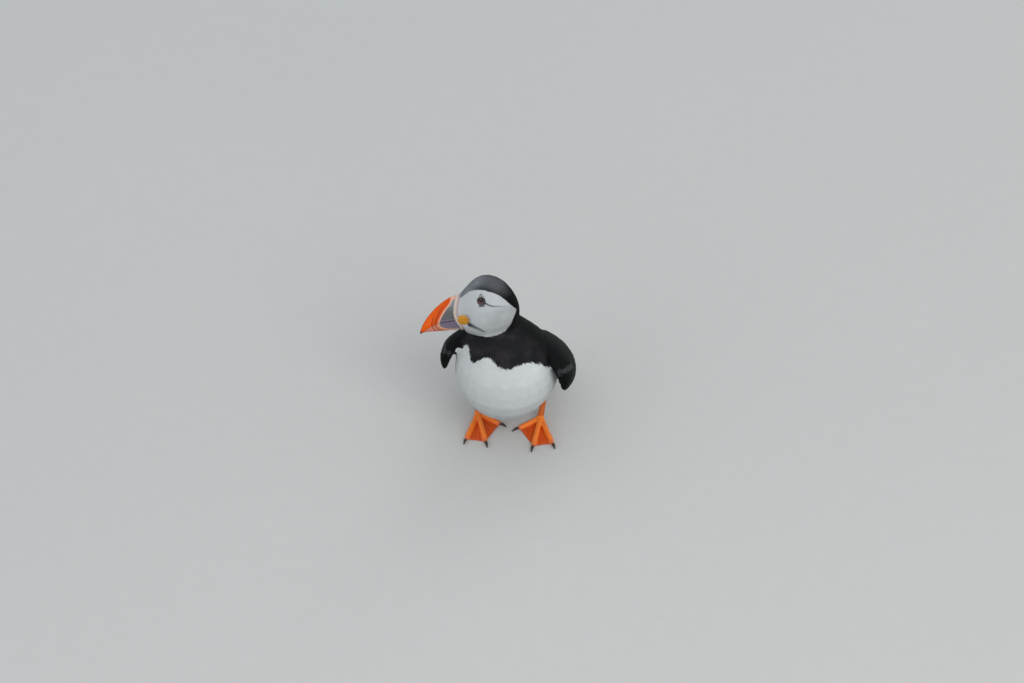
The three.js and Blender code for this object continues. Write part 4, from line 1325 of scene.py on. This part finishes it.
def legForm(name, sign):  # shank, toes with scutes on top, and ribbed webs
    leg = copyOfNodes(f"leg_{name}", [f"shank_{name}", f"foot_{name}"], legPlan["swell"] * mm)
    remesh(leg, legPlan["voxel"])
    places = relax(spotsOf(leg), edgesOf(leg), legPlan["smoothing"])
    moveTo(leg, places * mm)
    normals = normalsOf(leg)
    away = places[:, :2] - ankleOf(name)
    angles, lengths = np.array(list(legPlan["toes"].values())).T
    ways, runs = [], []
    for angle, length in zip(angles, lengths):
        way = wayAt(legPlan["heading"][name] + sign * angle)
        run = away @ way
        reach = np.abs(away @ (way[1], -way[0]))
        ways.append(np.where((run > -4) & (run < length + 3), reach, 99))
        runs.append(run)
    nearest = np.argmin(ways, axis=0)
    rows = np.arange(len(places))
    toeWay, run = np.array(ways)[nearest, rows], np.array(runs)[nearest, rows]
    shank = smoothstep(places[:, 2], 6, 9)
    toe = (1 - smoothstep(toeWay, *legPlan["toeWidth"])) * (1 - shank)
    along = np.where(shank > 0.5, places[:, 2], run) / legPlan["scute"]
    part = along - np.floor(along)
    front = normals[:, :2] @ wayAt(legPlan["heading"][name])
    top = shank * smoothstep(front, -0.2, 0.5) + toe * smoothstep(normals[:, 2], 0, 0.55)
    lift = legPlan["scuteRise"] * (part * (1 - smoothstep(part, 0.8, 1)) - 0.25) * top - legPlan["sunk"]
    web = (1 - toe) * (1 - shank) * (np.hypot(*away.T) > legPlan["heel"])
    fan = np.arctan2(away[:, 0], -away[:, 1])
    places = places + normals * lift[:, None]
    rib, ribs = legPlan["ribs"]
    webTop = legPlan["webThick"] + (rib * np.cos(fan * ribs) + 0.12 * grain(places, 2.4, 12))
    onWeb = (web > 0.5) & (normals[:, 2] > 0.2)
    places[:, 2] = np.where(onWeb, np.minimum(places[:, 2], webTop), places[:, 2])
    places = places + (relax(places, edgesOf(leg), 2) - places) * (web > 0.05)[:, None]
    places[:, 2] = np.maximum(places[:, 2], 0)
    moveTo(leg, places * mm)
    attribute(leg, "toe", toe)
    attribute(leg, "shank", shank)
    attribute(leg, "part", np.where(top > 0.3, part, 0.5))
    attribute(leg, "tip", smoothstep(run / lengths[nearest], 0.8, 1.0))
    cornerMap(leg, "fan", np.stack([fan, np.hypot(*away.T) / 40], 1))
    return leg


def legPaint():
    paint = Paint("leg_skin")
    tint = tints(legPlan["colours"])
    mottle, fine = paint.noises((260.0, 4.0), (1500.0, 3.0))
    scales = paint.cells(paint.place(), 1150.0)
    toe, shank, tip = paint.attribute("toe"), paint.attribute("shank"), paint.attribute("tip")
    base = paint.mix(paint.ease(toe + 0.3 * (mottle - 0.5), 0.25, 0.75), tint["web"], tint["toe"])
    base = paint.mix(shank, base, tint["shank"])
    base = paint.mix(tip * 0.6, base, tint["tip"])
    edge = paint.ease(paint.attribute("part"), 0.78, 0.98)
    base = paint.mix(edge * 0.3, base, tint["dusk"])
    base = paint.mix(paint.ease(mottle, 0.6, 0.8) * 0.35, base, tint["dusk"])
    streak = paint.noise(paint.stretched(paint.mapped("fan"), (38.0, 3.0, 1.0)), 1.0, 4.0)
    light = 0.9 + 0.3 * (streak - 0.5) * (1 - shank) + 0.2 * (mottle - 0.5) + 0.16 * (fine - 0.5) + 0.1 * toe
    normal = paint.bump(streak * 0.8 * (1 - toe) + fine * 0.5 - scales * 0.55, 0.2, 0.6)
    roughness = 0.46 + 0.2 * (mottle - 0.5) + 0.1 * (fine - 0.5)
    return paint.finish(paint.shaded(base, light), roughness, normal, Specular_IOR_Level=0.3)


clawPlan = {
    "swell": 0.1,
    "voxel": 0.24,
    "smoothing": 5,
    "colours": ("2a2321", "5b3d31"),  # towards the tip, and at the base
}


def clawPaint():
    paint = Paint("claw_horn")
    mottle, fine = paint.noises((700.0, 3.0), (3000.0, 2.0))
    share = paint.ease(paint.attribute("root") + 0.3 * (mottle - 0.5), 0.45, 0.95)
    base = paint.mix(share, *(colour(code) for code in clawPlan["colours"]))
    light = 1.0 + 0.5 * (mottle - 0.5) + 0.2 * (fine - 0.5)
    normal = paint.bump(fine + mottle, 0.08, 0.5)
    return paint.finish(paint.shaded(base, light), 0.32 + 0.2 * (fine - 0.5), normal)


legSkin, clawHorn = legPaint(), clawPaint()
for name, sign in (("left", 1), ("right", -1)):
    dress(legForm(name, sign), legSkin, "leg", f"shank_{name}", f"foot_{name}")
    for toe in legPlan["toes"]:
        node = f"claw_{toe}_{name}"
        claw = copyOfNodes(f"nail_{toe}_{name}", [node], clawPlan["swell"] * mm)
        remesh(claw, clawPlan["voxel"])
        moveTo(claw, relax(placesOf(claw), edgesOf(claw), clawPlan["smoothing"]))
        out = np.hypot(*(spotsOf(claw)[:, :2] - ankleOf(name)).T)
        attribute(claw, "root", 1 - (out - out.min()) / np.ptp(out))
        dress(claw, clawHorn, "claw", node)
print("legs and claws made")

# The flight feathers and the tail, as long vanes on curved shafts
quillPlan = {
    "outline": [
        (0, 0.08, 0), (0.05, 0.14, 0), (0.12, 0.25, 0), (0.22, 0.38, 0), (0.34, 0.47, 0), (0.46, 0.5, 0),
        (0.58, 0.5, 0), (0.68, 0.49, 0), (0.77, 0.46, 0), (0.85, 0.4, 0), (0.91, 0.32, 0), (0.96, 0.21, 0),
        (0.99, 0.1, 0), (1, 0.02, 0),
    ],
    "columns": 10,
    "ridge": 0.05, "belly": 0.07, "shaft": 0.07,  # heights for a width of 1
    "crowd": 1.5,  # a power, which over 1 draws the columns to the shaft
    "cup": 0.1,  # how far the edges lie under the middle
    "deep": 1.3,  # how deep under the skin the roots lie
    "marks": (1.0, 0, 0.6),  # shares of black, slate and dusk
}
quill = modelVane(
    "quill", quillPlan["outline"], quillPlan["columns"], quillPlan["ridge"], quillPlan["belly"],
    quillPlan["crowd"], quillPlan["shaft"],
)


def seated(root, out):  # sets a root just under the skin, as seen from the fan's face
    spot, up, _, _ = skinTree.ray_cast((root + bodyAt + out * 25).tolist(), (-out).tolist())
    if spot is None or np.array(up) @ out < 0.3:
        return root, out
    under = np.array(spot) - bodyAt - out * quillPlan["deep"]
    return (root, out) if (under - root) @ out > 0 else (under, unit(out + np.array(up)))


def layQuills(name, plans, width, node):  # plans: root, bend, tip and outward of each
    shape, corners, _ = quill
    starts, bends, tips, outs = (np.array([plan[k] for plan in plans], float) for k in range(4))
    outs = unit(outs)
    starts, lying = (np.array(found) for found in zip(*[seated(*pair) for pair in zip(starts, outs)]))
    side, t, height = (shape[None, :, k, None] for k in range(3))
    middle = starts[:, None] * (1 - t) ** 2 + 2 * bends[:, None] * t * (1 - t) + tips[:, None] * t**2
    way = unit((bends - starts)[:, None] * (1 - t) + (tips - bends)[:, None] * t)
    out = lying[:, None] + (outs - lying)[:, None] * smoothstep(t, 0.05, 0.5)  # flat on the skin, then fanned
    out = unit(out - way * dot(out, way)[..., None])
    across = np.cross(way, out)
    cup = quillPlan["cup"] * width * side**2
    laid = middle + across * side * width + out * (height * width - cup) + bodyAt
    count = len(plans)
    marking = np.tile(quillPlan["marks"], (count, 1))
    piece = layAll(name, laid, corners, marking, np.zeros((count, 2)), shape[:, 1])
    cornerMap(piece, "vane", np.tile(shape[:, :2] * (2, 4), (count, 1)))
    strips = np.array([(k % 8 / 8 + 0.01, k // 8 / 4 + 0.01) for k in range(count)])
    patch = strips[:, None] + (shape[None, :, :2] * (0.5, 1) + (0.25, 0)) * (0.2, 0.22)
    cornerMap(piece, "OFBake", patch.reshape(-1, 2))
    dress(piece, plumage, "black", node)


flight = {  # the left wing's fan, from the floor under the shoulders
    "count": 10, "width": 12,
    "low": [(50.5, 52, 62.5), (17.5, 105, 35)],  # root and tip of the lowest feather
    "high": [(23.5, 51, 89.5), (14.5, 76.5, 58)],
    "bow": 4.2,  # how far the middle of the fan stands out
    "step": 0.35,  # twice the step outwards from one tip to the next
    "bend": 1.2,  # how far each feather's middle stands out
}
tailPlan = {  # of the middle of the tail, then how much the outermost feathers differ
    "count": 12, "width": 11,
    "root": (-1, 78, 52), "tip": (-1, 120.5, 25.5),
    "rootSpread": 6.5, "spread": 16.4, "short": 4.5, "arch": 3.4, "rootArch": 2.7,
    "stack": 0.5,  # how high the middle ones lie over the outermost
    "bend": (0, 0.4, 0.9),
}


def flightPlans(sign):
    plans, mirror = [], (sign, 1, 1)
    lows, highs = (np.array(flight[edge], float) for edge in ("low", "high"))
    stack = highs[0] - lows[0]
    out = unit(np.array([stack[2], 0, -stack[0]]))
    for k in range(flight["count"]):
        share = k / (flight["count"] - 1)
        bulge = flight["bow"] * math.sin(math.pi * share)
        root, tip = lows + (highs - lows) * share
        root = root + out * bulge
        tip = tip + out * (bulge / 2 + flight["step"] * (k - 4) / 2)
        bend = (root + tip) / 2 + out * flight["bend"]
        plans.append([way * mirror for way in (root, bend, tip, out)])
    return plans


def tailPlans():  # the outermost first
    plan, plans = tailPlan, []
    middle = (plan["count"] - 1) / 2
    for k in np.argsort(-np.abs(np.arange(plan["count"]) - middle), kind="stable"):
        s = 2 * k / (plan["count"] - 1) - 1
        lift = plan["stack"] * (1 - abs(s))
        rootWay = (s * plan["rootSpread"], 0, -plan["rootArch"] * s * s + lift)
        tipWay = (s * plan["spread"], -plan["short"] * s * s, -plan["arch"] * s * s + lift)
        root, tip = np.array(plan["root"], float) + rootWay, np.array(plan["tip"], float) + tipWay
        plans.append((root, (root + tip) / 2 + plan["bend"], tip, (0.35 * s, 0.53, 0.85)))
    return plans


layQuills("quills_wing_left", flightPlans(1), flight["width"], "flight_feathers_left")
layQuills("quills_wing_right", flightPlans(-1), flight["width"], "flight_feathers_right")
layQuills("quills_tail", tailPlans(), tailPlan["width"], "tail")


# Camera, floor and light

view = {  # metres and degrees, and the sensor in millimetres
    "azimuth": 15, "elevation": 42, "distance": 8.0,
    "width": 0.948,  # of what the view takes in
    "aim": (0.0056, -0.0236, 0.1042),
    "sensor": 36, "farthest": 60,
}
azimuth, elevation = math.radians(view["azimuth"]), math.radians(view["elevation"])
level = math.cos(elevation)
back = Vector((math.sin(azimuth) * level, -math.cos(azimuth) * level, math.sin(elevation)))
bpy.ops.object.camera_add(location=Vector(view["aim"]) + back * view["distance"])
camera = bpy.context.object
camera.rotation_euler = back.to_track_quat("Z", "Y").to_euler()
camera.data.sensor_width = view["sensor"]
camera.data.lens = view["sensor"] * view["distance"] / view["width"]
camera.data.clip_end = view["farthest"]
bpy.context.scene.camera = camera

floorPlan = {"size": 12, "colour": "c6c7c5", "bounce": "94938f"}  # bounce is what lights the bird from below


def floorPaint():
    paint = Paint("floor")
    speckle, cloud = paint.noises((60.0, 5.0, 0.6), (1.7, 3.0))
    seen = paint.node("ShaderNodeLightPath")
    tone = paint.mix(seen, colour(floorPlan["bounce"]), colour(floorPlan["colour"]))
    light = 0.97 + 0.05 * (speckle - 0.5) + 0.06 * (cloud - 0.5)
    return paint.finish(paint.shaded(tone, light), 0.9, paint.bump(speckle, 0.4, 0.3))


deselect()
bpy.ops.mesh.primitive_plane_add(size=floorPlan["size"], location=(0, 0, 0))
floor = bpy.context.object
floor.name = "floor"
floor.data.materials.append(floorPaint())

lights = {
    "sky": {"strength": 0.7, "colour": (0.93, 0.965, 1.0)},
    "aim": (0, 0, 0.08),
    "lamps": [  # place, size in metres, watts, colour
        ((1.8, -1.85, 2.45), 2.2, 41, (1.0, 0.985, 0.96)),
        ((-1.4, -2.4, 1.4), 2.0, 9, (0.97, 0.985, 1.0)),
        ((0.3, 2.2, 2.0), 1.8, 8, (1.0, 1.0, 1.0)),
    ],
}
world = bpy.data.worlds.new("sky")
bpy.context.scene.world = world
world.use_nodes = True
sky = world.node_tree.nodes["Background"]
sky.inputs["Color"].default_value = (*lights["sky"]["colour"], 1)
sky.inputs["Strength"].default_value = lights["sky"]["strength"]
for number, (where, breadth, watts, tint) in enumerate(lights["lamps"]):
    bpy.ops.object.light_add(type="AREA", location=where)
    lamp = bpy.context.object
    lamp.name = f"lamp_{number}"
    lamp.rotation_euler = (Vector(where) - Vector(lights["aim"])).to_track_quat("Z", "Y").to_euler()
    lamp.data.shape = "DISK"
    lamp.data.size = breadth
    lamp.data.energy = watts
    lamp.data.color = tint
print("camera, floor and lights made")

bpy.context.scene.view_settings.view_transform = "Standard"
